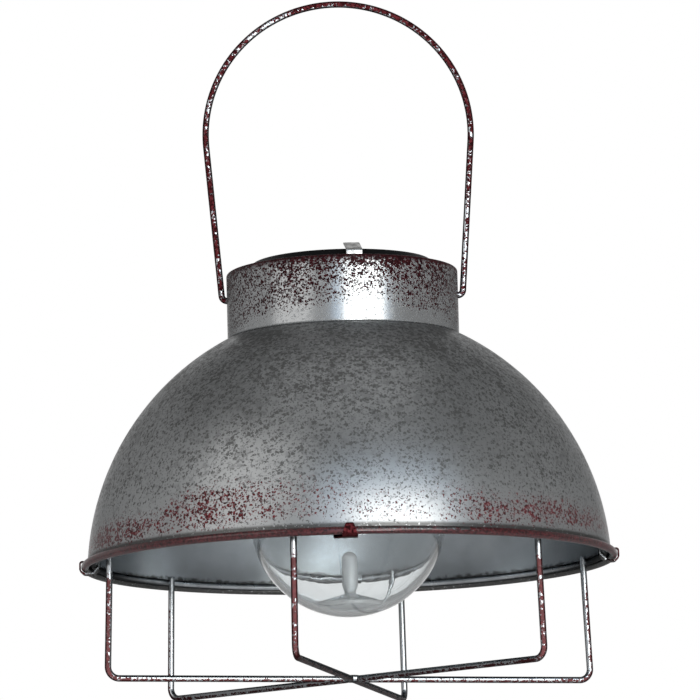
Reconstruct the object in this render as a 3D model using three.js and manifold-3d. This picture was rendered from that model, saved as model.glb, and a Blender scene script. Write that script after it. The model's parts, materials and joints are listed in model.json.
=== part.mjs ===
// Hanging lantern: a spun shade with a wire guard, a wire bail and a drop-in solar lamp unit.
// Units are millimetres, +Z is up. The origin is the centre of the guard's base, on the plane
// that the lantern stands on. Azimuths run from the front (-Y) towards +X.
import * as THREE from 'three';
import { mergeVertices } from 'three/addons/utils/BufferGeometryUtils.js';
import Module from 'manifold-3d';

const wasm = await Module();
wasm.setup();

// ---------------------------------------------------------------- driving dimensions
// general
const GAP = 0.3;                 // clearance left between pieces that seat on each other
const WIRE_D = 2.8;              // wire of the guard and the bail, across flats
const RIM_SEGMENTS = 60;         // facets around the shade and the guard ring
const NECK_SEGMENTS = 40;        // facets around the collar and the lamp unit
const BULB_SEGMENTS = 28;        // facets around the bulb and its socket
const SMALL_SEGMENTS = 16;       // facets around the battery, the pin and the guard's hub
const SCREW_SIDES = 8;            // facets around screws, posts and drilled holes

// shade: an elliptical shell with its rim curled outwards
const GUARD_HEIGHT = 52;         // rim centre above the plane the guard stands on
const SHADE_R = 112.5;           // horizontal semi-axis of the outer ellipse
const SHADE_RISE = 114.6;        // vertical semi-axis of the outer ellipse
const SHADE_DROP = 5.75;         // ellipse centre below the rim centre
const SHEET = 0.7;               // sheet thickness
const BEAD_D = 3.34;             // outside diameter of the curled rim
const CURL_GAP = 0.35;           // slit between the end of the curl and the wall
const SHOULDER = 0.3;            // shade's flat top runs this far outside the collar

// collar
const COLLAR_R = 50;             // outside radius
const COLLAR_H = 28.8;           // height above the shade
const COLLAR_SHEET = 0.8;        // wall thickness
const LIP_R = 1.2;               // outside radius of the in-turned top edge
const FOOT_R = 1.0;              // outside radius of the in-turned foot
const SEAT_W = 8.5;              // radial width of the seat at the foot

// bail: half a circle on two straight legs that close in towards the collar
const BAIL_R = 57.55;            // wire-centre radius of the arch
const BAIL_RISE = 131;           // pivot axis to the top of the arch
const BAIL_BEND = 2.4;           // wire-centre radius of the bend at the collar
const BAIL_DROP = 11.2;          // pivot axis below the collar's top edge
const BAIL_SIDE_GAP = 0.6;       // leg to collar wall at the pivot
const BAIL_TIP_GAP = 1.2;        // tip of the bail to the lamp unit's drum

// guard
const LEG_COUNT = 6;
const LEG_ANGLE = -12.6;          // azimuth of the first leg
const LEG_R = 108.6;             // wire-centre radius of the legs at the base
const LEG_BEND = 4.8;            // wire-centre radius of the corner bend
const LEG_STUB = 0.8;            // leg end above the top of the guard ring
const RING_LIFT = 1.3;           // guard ring centre above the rim centre
const HUB_R = 5.0;               // weld button where the legs meet
const HUB_H = 3.2;

// clips that fold round the rim and the guard ring
const CLIP_COUNT = 4;
const CLIP_T = 0.6;
const CLIP_BEND = 1.1;
const CLIP_STUB = 0.5;           // clip's arm above the top of the guard ring
const CLIP_HANG = 1.2;           // lowest point of a clip below the curled rim
const CLIP_ARM_W = 10.2;         // width of the arm inside the ring
const CLIP_ARM_SHIFT = 1.7;      // arm's centre beside the fold's, towards smaller azimuths
const CLIP_FOLD_W = 6.2;         // width of the fold outside the curled rim
const CLIP_WAIST_W = 3.6;        // width at the top of the fold
const CLIP_TIP_W = 1.4;

// tabs that hold the lamp unit down in the collar
const TAB_COUNT = 3;
const TAB_ANGLE = 6.6;            // azimuth of the first tab
const TAB_W = 7;
const TAB_T = 0.8;
const TAB_TAIL = 19;             // length below the collar's top edge
const TAB_STAND = 2.1;           // straight part above the collar's top edge
const TAB_REACH = 10.4;          // how far the bent end reaches in
const TAB_RISE = 4.4;            // and how far it climbs
const TAB_BEND = 1.0;

// lamp unit
const GASKET_T = 1.5;
const DRUM_R = 45.2;
const DRUM_WALL = 1.8;
const DRUM_FLOOR = 2.0;
const DRUM_H = 23.2;
const LID_FLANGE = 2.0;          // flange thickness
const LID_BOSS_R = 40.5;         // radius of the raised top
const LID_BOSS_H = 4.4;          // raised top above the flange
const LID_CHAMFER = 3.1;         // slope between flange and raised top, measured radially
const LID_ROOF = 2.9;            // thickness of the raised top
const LID_SKIN = 1.2;            // thickness of the flange inside the skirt
const LID_SKIRT_T = 1.6;
const LID_SKIRT_H = 3.8;
const PANEL_SIDE = 53;
const PANEL_T = 1.3;
const PANEL_SINK = 0.2;          // panel face below the raised top

// screws
const SCREW_SHANK_R = 1.2;
const SCREW_HEAD_R = 2.5;
const SCREW_HEAD_H = 1.8;
const HEAD_SINK = 0.9;           // depth of the recess for a unit screw's head
const POST_R = 3.0;
const RIB_T = 1.4;               // ribs between the screw posts and the drum's wall
const UNIT_SCREW_X = 35.5;
const UNIT_SCREW_Y = 13;
const UNIT_SCREW_L = 25;
const SMALL_SCREW_L = 8;

// rechargeable cell and its compartment
const CELL_D = 10.5;
const CELL_L = 44.5;
const CELL_Y = 26.5;             // cell axis behind the lamp axis
const CELL_NIPPLE = 0.8;
const NIPPLE_R = 2.6;
const CELL_SPACE = 0.5;          // room round the cell
const CELL_WALL = 1.2;
const SPRING_ROOM = 5.2;         // room for the spring and the contact together
const SPRING_WIRE = 0.7;
const SPRING_TURNS = 3;
const SPRING_WIDE_R = 3.8;       // coil radius at the compartment wall
const SPRING_NARROW_R = 2.2;     // and at the cell
const CONTACT_T = 0.5;
const CONTACT_MARGIN = 1.05;     // contact's edge inside the cell's outline
const DOOR_T = 1.6;
const DOOR_EAR_X = 20;
const DOOR_EAR_W = 7.5;
const DOOR_EAR_L = 6.6;

// circuit board and switch
const BOARD_HALF_X = 16;
const BOARD_FRONT = 36;
const BOARD_BACK = 9;
const BOARD_T = 1.6;
const BOARD_LIFT = 5.2;          // board above the drum's floor
const STANDOFF_R = 2.0;
const STANDOFF_X = 11;
const STANDOFF_MARGIN = 3;       // standoff's centre inside the board's edge, and behind the switch
const STAKE_R = 1.0;             // pin of a standoff, through the board
const SWITCH_Y = -30.5;
const SWITCH_L = 12;
const SWITCH_W = 6.4;
const SWITCH_WALL = 1.2;
const SWITCH_TRAVEL = 3;
const KNOB_L = 3;
const KNOB_W = 3;
const KNOB_PROUD = 2.6;          // knob below the drum's floor
const KNOB_FLANGE = 0.9;
const KNOB_FLANGE_T = 1;

// socket, bulb and the pin inside it
const SOCKET_WALL = 2.4;
const SOCKET_PLATE = 2.0;
const SOCKET_H = 25;
const SOCKET_RIM = 0.96;         // rim round the mouth, proud of the cup
const SOCKET_RIM_H = 2.4;
const SOCKET_EAR = 20.5;         // screw distance from the axis
const SOCKET_EAR_W = 8;
const LEAD_HOLE_R = 5;
const BULB_R = 42.1;
const BULB_LENGTH = 118.8;       // neck end to the bottom of the bulb
const BULB_WALL = 2.2;
const NECK_R = 13.6;
const NECK_FILLET = 14;
const HOLDER_T = 2;
const LED_R = 2.5;
const LED_L = 8.6;
const LED_FLANGE_R = 3.4;
const LED_FLANGE_T = 1;
const LEAD_T = 0.5;
const LEAD_PITCH = 2.54;
const PIN_R = 3.4;
const PIN_H = 18;                // pin above its waist
const PIN_WAIST_R = 1.9;
const PIN_FOOT_R = 14;
const PIN_FOOT_T = 1.6;
const PIN_CONE = 3.2;            // height of the foot's cone

// ---------------------------------------------------------------- derived sizes
const WIRE_R = WIRE_D / 2;
const RIM_Z = GUARD_HEIGHT;
const ELLIPSE_Z = RIM_Z - SHADE_DROP;
const shadeOuter = (z) => SHADE_R * Math.sqrt(1 - ((z - ELLIPSE_Z) / SHADE_RISE) ** 2);
const shadeInner = (z) => shadeOuter(z) - SHEET;
const BEAD_R = BEAD_D / 2;
const BEAD_CENTRE_R = shadeInner(RIM_Z) + BEAD_R;

const SHOULDER_R = COLLAR_R + SHOULDER;
const SEAT_Z = ELLIPSE_Z + SHADE_RISE * Math.sqrt(1 - (SHOULDER_R / SHADE_R) ** 2);
const OPENING_R = COLLAR_R - SEAT_W;
const COLLAR_Z = SEAT_Z + GAP;
const COLLAR_TOP = COLLAR_Z + COLLAR_H;
const COLLAR_INNER = (COLLAR_R - COLLAR_SHEET) * Math.cos(Math.PI / NECK_SEGMENTS);
const LIP_INNER = (COLLAR_R - LIP_R) * Math.cos(Math.PI / NECK_SEGMENTS);

const PIVOT_Z = COLLAR_TOP - BAIL_DROP;
const BAIL_FOOT_X = COLLAR_R + BAIL_SIDE_GAP + WIRE_R;
const BAIL_HOLE_R = WIRE_R / Math.cos(Math.PI / 8) + 1.3 * GAP;
const BAIL_ARCH_Z = PIVOT_Z + BAIL_RISE - WIRE_R - BAIL_R;

const RING_Z = RIM_Z + RING_LIFT;
const RING_R = shadeInner(RING_Z + WIRE_D) - GAP - WIRE_R;
const RING_INNER = (RING_R - WIRE_R) * Math.cos(Math.PI / RIM_SEGMENTS);
const LEG_TOP_R = RING_INNER - GAP - WIRE_R;
const LEG_TOP_Z = RING_Z + WIRE_R + LEG_STUB;

const TAB_OUTER = Math.sqrt((LIP_INNER - GAP) ** 2 - (TAB_W / 2) ** 2);
const LID_R = TAB_OUTER - TAB_T - GAP;

const GASKET_Z = COLLAR_Z + COLLAR_SHEET + GAP;
const DRUM_Z = GASKET_Z + GASKET_T + GAP;
const DRUM_TOP = DRUM_Z + DRUM_H;
const DRUM_INNER = DRUM_R - DRUM_WALL;
const FLOOR_Z = DRUM_Z + DRUM_FLOOR;
const LID_Z = DRUM_TOP + GAP;
const LID_TOP = LID_Z + LID_FLANGE + LID_BOSS_H;
const PANEL_Z = LID_TOP - PANEL_SINK - PANEL_T;

const CELL_R = CELL_D / 2;
const CELL_Z = DRUM_Z + DOOR_T + GAP + CELL_R;
const BAY_HALF_X = (CELL_L + SPRING_ROOM) / 2;
const BAY_HALF_Y = CELL_R + CELL_SPACE;
const BAY_TOP = CELL_Z + CELL_R + CELL_SPACE;
const DOOR_EAR_Y = CELL_Y - BAY_HALF_Y - DOOR_EAR_L / 2;
const CONTACT_X = BAY_HALF_X - GAP - CONTACT_T;
const CELL_PLUS_X = CONTACT_X - GAP;
const CELL_MINUS_X = CELL_PLUS_X - CELL_L;
const CELL_BODY_L = CELL_L - CELL_NIPPLE;

const BOARD_Z = FLOOR_Z + BOARD_LIFT;
const SWITCH_TOP = BOARD_Z - GAP;
const SWITCH_Z = FLOOR_Z + GAP;

const SOCKET_TOP = DRUM_Z - GAP;
const SOCKET_BORE = NECK_R + 2 * GAP;
const SOCKET_R = SOCKET_BORE + SOCKET_WALL;
const HOLDER_Z = SOCKET_TOP - SOCKET_PLATE - GAP - HOLDER_T;
const NECK_Z = HOLDER_Z - GAP;
const BULB_Z = NECK_Z - BULB_LENGTH + BULB_R;

const OVERRUN = 1;               // cutters reach this far past the faces that they cut

const rad = THREE.MathUtils.degToRad;
const vec2 = (x, y) => new THREE.Vector2(x, y);
const vec3 = (x, y, z) => new THREE.Vector3(x, y, z);

// ---------------------------------------------------------------- materials
const finish = (color, roughness, metalness) => (
  new THREE.MeshStandardMaterial({ color, roughness, metalness })
);
const galvanised = finish(0x7d8084, 0.45, 0.75);
const rustyWire = finish(0x6a4a48, 0.45, 0.7);
const brightWire = finish(0xb4b8bd, 0.3, 0.9);
const bareStrip = finish(0xd0d0cd, 0.3, 0.9);
const blackPlastic = finish(0x141416, 0.45, 0.0);
const foam = finish(0x202022, 0.95, 0.0);
const siliconCell = finish(0x101a3a, 0.15, 0.1);
const screwSteel = finish(0xa8a9ab, 0.35, 0.9);
const clearPlastic = new THREE.MeshStandardMaterial({
  color: 0xdfe6e6, roughness: 0.05, metalness: 0, transparent: true, opacity: 0.35,
});
const frosted = finish(0xf2f4f2, 0.35, 0.0);
const whitePlastic = finish(0xe9e9e4, 0.5, 0.0);
const cellSleeve = finish(0x3f7d4a, 0.4, 0.0);
const boardGreen = finish(0x1d5a35, 0.5, 0.0);
const brass = finish(0xc0a060, 0.35, 0.9);

// ---------------------------------------------------------------- solids
/** Signed volume of a geometry, positive when its faces point out. */
function signedVolume(geometry) {
  const flat = geometry.index ? geometry.toNonIndexed() : geometry;
  const position = flat.attributes.position;
  const [a, b, c] = [vec3(), vec3(), vec3()];
  let total = 0;
  for (let i = 0; i < position.count; i += 3) {
    a.fromBufferAttribute(position, i);
    b.fromBufferAttribute(position, i + 1);
    c.fromBufferAttribute(position, i + 2);
    total += a.dot(b.cross(c)) / 6;
  }
  return total;
}

/** One welded, outward-facing geometry that holds positions only. */
function welded(geometry) {
  const bare = geometry.clone();
  bare.deleteAttribute('normal');
  bare.deleteAttribute('uv');
  const merged = mergeVertices(bare, 1e-5);
  if (signedVolume(merged) < 0) {
    const index = merged.index.array;
    for (let i = 0; i < index.length; i += 3) {
      [index[i + 1], index[i + 2]] = [index[i + 2], index[i + 1]];
    }
  }
  return merged;
}

/** A manifold solid of a closed geometry. */
function solid(geometry) {
  const shape = welded(geometry);
  return new wasm.Manifold(new wasm.Mesh({
    numProp: 3,
    vertProperties: new Float32Array(shape.attributes.position.array),
    triVerts: new Uint32Array(shape.index.array),
  }));
}

/** The geometry of a manifold solid. */
function geometryOf(shape) {
  const mesh = shape.getMesh();
  const geometry = new THREE.BufferGeometry();
  geometry.setAttribute('position', new THREE.BufferAttribute(mesh.vertProperties, 3));
  geometry.setIndex(new THREE.BufferAttribute(mesh.triVerts, 1));
  return geometry;
}

const joined = (first, ...rest) => rest.reduce((sum, item) => sum.add(solid(item)), solid(first));
const cut = (body, ...tools) => tools.reduce((left, tool) => left.subtract(solid(tool)), body);

/** A closed (radius, height) profile turned round the Z axis; facets start at the front. */
function turned(profile, segments) {
  const points = profile.map(([r, z]) => vec2(Math.max(r, 0), z));
  const open = points[0].x > 0 || points.at(-1).x > 0;
  if (open) points.push(points[0].clone());
  return new THREE.LatheGeometry(points, segments).rotateX(Math.PI / 2);
}

/** Points of an arc in the (radius, height) plane, both ends included. */
function arc(centreR, centreZ, radius, from, to, steps) {
  return Array.from({ length: steps + 1 }, (_, i) => {
    const angle = rad(from + ((to - from) * i) / steps);
    return [centreR + radius * Math.cos(angle), centreZ + radius * Math.sin(angle)];
  });
}

const box = (x0, x1, y0, y1, z0, z1) => (
  new THREE.BoxGeometry(x1 - x0, y1 - y0, z1 - z0)
    .translate((x0 + x1) / 2, (y0 + y1) / 2, (z0 + z1) / 2)
);

const post = (x, y, z0, z1, radius, sides = SCREW_SIDES) => (
  new THREE.CylinderGeometry(radius, radius, z1 - z0, sides)
    .rotateX(Math.PI / 2)
    .translate(x, y, (z0 + z1) / 2)
);

// ---------------------------------------------------------------- bent wire and strip
/** A path that steps from one given station to the next, however far apart they are. */
class StationPath extends THREE.Curve {
  constructor(stations) {
    super();
    this.stations = stations;
  }

  getPoint(t) {
    const last = this.stations.length - 1;
    const index = Math.min(Math.floor(t * last + 1e-9), last - 1);
    return this.stations[index].clone().lerp(this.stations[index + 1], t * last - index);
  }

  getPointAt(u) {
    return this.getPoint(u);
  }

  getTangentAt(u) {
    const last = this.stations.length - 1;
    const index = Math.round(u * last);
    const before = this.stations[Math.max(index - 1, 0)];
    const here = this.stations[index];
    const after = this.stations[Math.min(index + 1, last)];
    const arriving = here.clone().sub(before).normalize();
    const leaving = after.clone().sub(here).normalize();
    return arriving.add(leaving).normalize();
  }
}

/** Corners joined by straight runs, with every inner corner rounded to one bend radius. */
function bentStations(corners, bend, steps) {
  const stations = [corners[0]];
  for (let i = 1; i < corners.length - 1; i += 1) {
    const arriving = corners[i].clone().sub(corners[i - 1]).normalize();
    const leaving = corners[i + 1].clone().sub(corners[i]).normalize();
    const turn = arriving.angleTo(leaving);
    const setback = bend * Math.tan(turn / 2);
    const start = corners[i].clone().addScaledVector(arriving, -setback);
    const inward = leaving.clone().addScaledVector(arriving, -leaving.dot(arriving)).normalize();
    for (let k = 0; k <= steps; k += 1) {
      const angle = (turn * k) / steps;
      stations.push(start.clone()
        .addScaledVector(arriving, bend * Math.sin(angle))
        .addScaledVector(inward, bend * (1 - Math.cos(angle))));
    }
  }
  stations.push(corners.at(-1));
  return stations;
}

/** A wire of given width across its flats, along a list of stations. */
function wire(stations, diameter, sides = 8) {
  const corner = diameter / 2 / Math.cos(Math.PI / sides);
  const section = new THREE.Shape(Array.from({ length: sides }, (_, i) => {
    const angle = ((i + 0.5) * 2 * Math.PI) / sides;
    return vec2(corner * Math.cos(angle), corner * Math.sin(angle));
  }));
  return new THREE.ExtrudeGeometry(section, {
    steps: stations.length - 1,
    extrudePath: new StationPath(stations),
    bevelEnabled: false,
  });
}

/** A closed solid through a row of convex rings that have equally many points. */
function loft(rings) {
  const count = rings[0].length;
  const last = (rings.length - 1) * count;
  const index = [];
  for (let start = 0; start < last; start += count) {
    for (let k = 0; k < count; k += 1) {
      const [a, b] = [start + k, start + ((k + 1) % count)];
      index.push(a, b, b + count, a, b + count, a + count);
    }
  }
  for (let k = 1; k + 1 < count; k += 1) {
    index.push(0, k + 1, k, last, last + k, last + k + 1);
  }
  return new THREE.BufferGeometry().setFromPoints(rings.flat()).setIndex(index);
}

/**
 * A strip of sheet bent along the front radius. Each corner is [radius, height, left, right]: a
 * point of the strip's middle layer and the places of its two edges, which run straight between.
 */
function bentStrip(corners, bend, thickness, steps = 2) {
  const line = bentStations(corners.map(([r, z]) => vec3(0, -r, z)), bend, steps);
  const perCorner = steps + 1;
  return loft(line.map((point, i) => {
    const before = line[Math.max(i - 1, 0)];
    const after = line[Math.min(i + 1, line.length - 1)];
    const along = after.clone().sub(before).normalize();
    const normal = vec3(0, -along.z, along.y).multiplyScalar(thickness / 2);
    const nearest = Math.min(Math.ceil(i / perCorner), corners.length - 1);
    const [, , left, right] = corners[nearest];
    return [
      point.clone().add(normal).setX(left),
      point.clone().add(normal).setX(right),
      point.clone().sub(normal).setX(right),
      point.clone().sub(normal).setX(left),
    ];
  }));
}

// ---------------------------------------------------------------- shade and collar
/** Spun shell: elliptical wall, flat seat on top, rim curled outwards into a bead. */
function shade() {
  const wallSteps = 8;
  const insideZ = SEAT_Z - SHEET;
  const wall = (semiR, semiZ, fromZ, toZ) => {
    const start = Math.asin((fromZ - ELLIPSE_Z) / semiZ);
    const end = Math.asin((toZ - ELLIPSE_Z) / semiZ);
    return Array.from({ length: wallSteps + 1 }, (_, i) => {
      const angle = start + ((end - start) * i) / wallSteps;
      return [semiR * Math.cos(angle), ELLIPSE_Z + semiZ * Math.sin(angle)];
    });
  };
  const curlInner = BEAD_R - SHEET;
  const slitR = shadeOuter(RIM_Z + BEAD_R) + CURL_GAP;
  const curlEnd = THREE.MathUtils.radToDeg(Math.acos((slitR - BEAD_CENTRE_R) / BEAD_R));
  const outer = wall(SHADE_R, SHADE_RISE, RIM_Z + 0.1 * BEAD_R, SEAT_Z);
  const inner = wall(SHADE_R - SHEET, SHADE_RISE - SHEET, RIM_Z, insideZ).reverse();
  return turned([
    ...outer,
    [OPENING_R, SEAT_Z],
    [OPENING_R, insideZ],
    ...inner,
    ...arc(BEAD_CENTRE_R, RIM_Z, BEAD_R, 200, 360 + curlEnd, 7),
    ...arc(BEAD_CENTRE_R, RIM_Z, curlInner, 360 + curlEnd, 200, 4),
  ], RIM_SEGMENTS);
}

/** Drawn ring with an in-turned foot, an in-turned top edge and two holes for the bail. */
function collar() {
  const inner = COLLAR_R - COLLAR_SHEET;
  const top = COLLAR_TOP;
  const profile = [
    [OPENING_R, COLLAR_Z],
    ...arc(COLLAR_R - FOOT_R, COLLAR_Z + FOOT_R, FOOT_R, -90, 0, 3),
    ...arc(COLLAR_R - LIP_R, top - LIP_R, LIP_R, 0, 90, 3),
    [COLLAR_R - LIP_R, top - COLLAR_SHEET],
    [inner, top - LIP_R],
    [inner, COLLAR_Z + COLLAR_SHEET],
    [OPENING_R, COLLAR_Z + COLLAR_SHEET],
  ];
  const drill = new THREE.CylinderGeometry(BAIL_HOLE_R, BAIL_HOLE_R, 3 * COLLAR_R, 16)
    .rotateZ(Math.PI / 2)
    .translate(0, 0, PIVOT_Z);
  return geometryOf(cut(solid(turned(profile, NECK_SEGMENTS)), drill));
}

// ---------------------------------------------------------------- bail
/** Half a circle of wire on two straight legs that touch it, with tips bent in at the collar. */
function bail() {
  const tipX = DRUM_R + BAIL_TIP_GAP;
  const toCentre = vec2(-BAIL_FOOT_X, BAIL_ARCH_Z - PIVOT_Z);
  const tangent = toCentre.angle() - Math.asin(BAIL_R / toCentre.length());
  const lean = Math.PI / 2 - tangent;
  const archSteps = 24;
  const arch = Array.from({ length: archSteps + 1 }, (_, i) => {
    const angle = -lean + ((Math.PI + 2 * lean) * i) / archSteps;
    return vec3(BAIL_R * Math.cos(angle), 0, BAIL_ARCH_Z + BAIL_R * Math.sin(angle));
  });
  const foot = (side) => {
    const corners = [
      vec3(side * tipX, 0, PIVOT_Z),
      vec3(side * BAIL_FOOT_X, 0, PIVOT_Z),
      vec3(side * BAIL_R * Math.cos(lean), 0, BAIL_ARCH_Z - BAIL_R * Math.sin(lean)),
    ];
    return bentStations(corners, BAIL_BEND, 4).slice(0, -1);
  };
  return wire([...foot(1), ...arch, ...foot(-1).reverse()], WIRE_D);
}

// ---------------------------------------------------------------- guard
const guardRing = () => turned(
  arc(RING_R, RING_Z, WIRE_R / Math.cos(Math.PI / 6), 30, 330, 5),
  RIM_SEGMENTS,
);

/** One leg: down from the inside of the ring, round the corner, in to the hub. */
function guardLeg() {
  const corners = [
    vec3(0, -LEG_TOP_R, LEG_TOP_Z),
    vec3(0, -LEG_R, WIRE_R),
    vec3(0, -(HUB_R + GAP), WIRE_R),
  ];
  return wire(bentStations(corners, LEG_BEND, 4), WIRE_D);
}

/** Flattened button of weld metal, level with the underside of the legs. */
function guardHub() {
  const crown = HUB_H / 2;
  return turned([
    [0, 0],
    [HUB_R - 0.5 * crown, 0],
    ...arc(HUB_R - crown, crown, crown, -30, 90, 2),
    [0, HUB_H],
  ], SMALL_SEGMENTS);
}

/** Strip folded from inside the guard ring, under both, and up over the curled rim to a tip. */
function rimClip() {
  const half = CLIP_T / 2;
  const ringReach = WIRE_R / Math.cos(Math.PI / 6) + GAP + half;
  const beadReach = BEAD_R + GAP + half;
  // the flat arm comes nearest to the ring's straight steps at its far edge
  const armReach = CLIP_ARM_SHIFT + CLIP_ARM_W / 2;
  const nearR = Math.sqrt((RING_R * Math.cos(Math.PI / RIM_SEGMENTS)) ** 2 - armReach ** 2);
  const insideR = nearR - WIRE_R - GAP - half;
  const outsideR = BEAD_CENTRE_R + beadReach;
  const lowZ = RIM_Z - BEAD_R - CLIP_HANG + half;
  const highZ = RIM_Z + beadReach;
  // the slopes run at 45 degrees, clear of the ring and of the curled rim
  const innerSlope = nearR + RING_Z - Math.SQRT2 * ringReach;
  const outerSlope = BEAD_CENTRE_R - RIM_Z + Math.SQRT2 * beadReach;
  const arm = [-armReach, CLIP_ARM_W - armReach];
  const across = (width) => [-width / 2, width / 2];
  return bentStrip([
    [insideR, RING_Z + WIRE_R + CLIP_STUB, ...arm],
    [insideR, innerSlope - insideR, ...arm],
    [innerSlope - lowZ, lowZ, ...arm],
    [outerSlope + lowZ, lowZ, ...across(CLIP_FOLD_W)],
    [outsideR, outsideR - outerSlope, ...across(CLIP_FOLD_W)],
    [outsideR, highZ, ...across(CLIP_WAIST_W)],
    [BEAD_CENTRE_R, highZ, ...across(CLIP_TIP_W)],
  ], CLIP_BEND, CLIP_T);
}

/** Strip that stands inside the collar and bends in over the edge of the lamp unit. */
function retainingTab() {
  const r = TAB_OUTER - TAB_T / 2;
  const bendZ = COLLAR_TOP + TAB_STAND;
  const edges = [-TAB_W / 2, TAB_W / 2];
  return bentStrip([
    [r, COLLAR_TOP - TAB_TAIL, ...edges],
    [r, bendZ, ...edges],
    [r - TAB_REACH, bendZ + TAB_RISE, ...edges],
  ], TAB_BEND, TAB_T, 3);
}

// ---------------------------------------------------------------- lamp unit
const unitScrewPlaces = [[1, 1], [-1, 1], [-1, -1], [1, -1]].map(
  ([sx, sy]) => [sx * UNIT_SCREW_X, sy * UNIT_SCREW_Y],
);
const standoffPlaces = [1, -1].flatMap((side) => [
  [side * STANDOFF_X, SWITCH_Y + SWITCH_W / 2 + STANDOFF_MARGIN],
  [side * STANDOFF_X, BOARD_BACK - STANDOFF_MARGIN],
]);

const gasket = () => turned([
  [OPENING_R + GAP, GASKET_Z],
  [DRUM_R, GASKET_Z],
  [DRUM_R, GASKET_Z + GASKET_T],
  [OPENING_R + GAP, GASKET_Z + GASKET_T],
], NECK_SEGMENTS);

/** Outline of the battery door, grown by a clearance. */
function doorBlock(grow, z0, z1) {
  const main = box(
    -(BAY_HALF_X - GAP + grow), BAY_HALF_X - GAP + grow,
    CELL_Y - BAY_HALF_Y + GAP - grow, CELL_Y + BAY_HALF_Y - GAP + grow, z0, z1,
  );
  const ear = box(
    DOOR_EAR_X - DOOR_EAR_W / 2 - grow, DOOR_EAR_X + DOOR_EAR_W / 2 + grow,
    CELL_Y - BAY_HALF_Y - DOOR_EAR_L - grow, CELL_Y - BAY_HALF_Y + 2 * GAP, z0, z1,
  );
  return joined(main, ear);
}

/** Moulded drum: floor, wall, ribbed screw posts, board standoffs, battery compartment. */
function housing() {
  const cup = turned([
    [0, DRUM_Z],
    [DRUM_R, DRUM_Z],
    [DRUM_R, DRUM_TOP],
    [DRUM_INNER, DRUM_TOP],
    [DRUM_INNER, FLOOR_Z],
    [0, FLOOR_Z],
  ], NECK_SEGMENTS);
  const rootZ = DRUM_Z + 0.5 * DRUM_FLOOR;
  const postTop = LID_Z - LID_SKIRT_H - GAP;
  const bay = box(
    -(BAY_HALF_X + CELL_WALL), BAY_HALF_X + CELL_WALL,
    CELL_Y - BAY_HALF_Y - CELL_WALL, CELL_Y + BAY_HALF_Y + CELL_WALL, rootZ, BAY_TOP + CELL_WALL,
  );
  const unitPosts = unitScrewPlaces.map(([x, y]) => post(x, y, rootZ, postTop, POST_R));
  const ribs = unitScrewPlaces.map(([x, y]) => {
    const wallX = Math.sqrt(DRUM_INNER ** 2 - y ** 2) + 0.5 * DRUM_WALL;
    const [near, far] = [x, Math.sign(x) * wallX].sort((a, b) => a - b);
    return box(near, far, y - RIB_T / 2, y + RIB_T / 2, rootZ, postTop);
  });
  const socketPosts = [1, -1].map((side) => post(
    side * SOCKET_EAR, 0, rootZ, FLOOR_Z + SMALL_SCREW_L - SOCKET_PLATE, POST_R,
  ));
  const doorPost = post(DOOR_EAR_X, DOOR_EAR_Y, rootZ, FLOOR_Z + SMALL_SCREW_L, POST_R);
  const standoffs = standoffPlaces.map(([x, y]) => post(x, y, rootZ, BOARD_Z - GAP, STANDOFF_R));
  const stakes = standoffPlaces.map(([x, y]) => post(x, y, rootZ, BOARD_Z + BOARD_T, STAKE_R));
  const body = joined(
    cup, bay, ...unitPosts, ...ribs, ...socketPosts, doorPost, ...standoffs, ...stakes,
  );

  const below = DRUM_Z - OVERRUN;
  const cellSpace = box(
    -BAY_HALF_X, BAY_HALF_X, CELL_Y - BAY_HALF_Y, CELL_Y + BAY_HALF_Y, below, BAY_TOP,
  );
  const doorway = geometryOf(doorBlock(GAP, below, DRUM_Z + DOOR_T + GAP));
  const screwHole = (x, y, top) => post(x, y, below, top, SCREW_SHANK_R + GAP);
  const headHole = (x, y) => post(x, y, below, DRUM_Z + HEAD_SINK, SCREW_HEAD_R + GAP);
  const leadHole = post(0, 0, below, FLOOR_Z + OVERRUN, LEAD_HOLE_R);
  const slot = box(
    -KNOB_L / 2 - GAP, KNOB_L / 2 + SWITCH_TRAVEL + GAP,
    SWITCH_Y - KNOB_W / 2 - GAP, SWITCH_Y + KNOB_W / 2 + GAP, below, FLOOR_Z + OVERRUN,
  );
  return geometryOf(cut(
    body,
    cellSpace,
    doorway,
    leadHole,
    slot,
    ...unitScrewPlaces.map(([x, y]) => screwHole(x, y, postTop + OVERRUN)),
    ...unitScrewPlaces.map(([x, y]) => headHole(x, y)),
    ...[1, -1].map((side) => screwHole(side * SOCKET_EAR, 0, FLOOR_Z + SMALL_SCREW_L)),
    screwHole(DOOR_EAR_X, DOOR_EAR_Y, FLOOR_Z + SMALL_SCREW_L + OVERRUN),
  ));
}

/** A pan-head screw with its head down: the head spans headZ down to headZ - SCREW_HEAD_H. */
function screw(x, y, headZ, length) {
  const crownR = 0.7 * SCREW_HEAD_R;
  return turned([
    [0, headZ - SCREW_HEAD_H],
    [crownR, headZ - SCREW_HEAD_H],
    [SCREW_HEAD_R, headZ - 0.5 * SCREW_HEAD_H],
    [SCREW_HEAD_R, headZ],
    [SCREW_SHANK_R, headZ],
    [SCREW_SHANK_R, headZ + length - SCREW_SHANK_R],
    [0, headZ + length],
  ], SCREW_SIDES).translate(x, y, 0);
}

const unitScrew = ([x, y]) => screw(x, y, DRUM_Z + HEAD_SINK - GAP, UNIT_SCREW_L);

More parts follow.
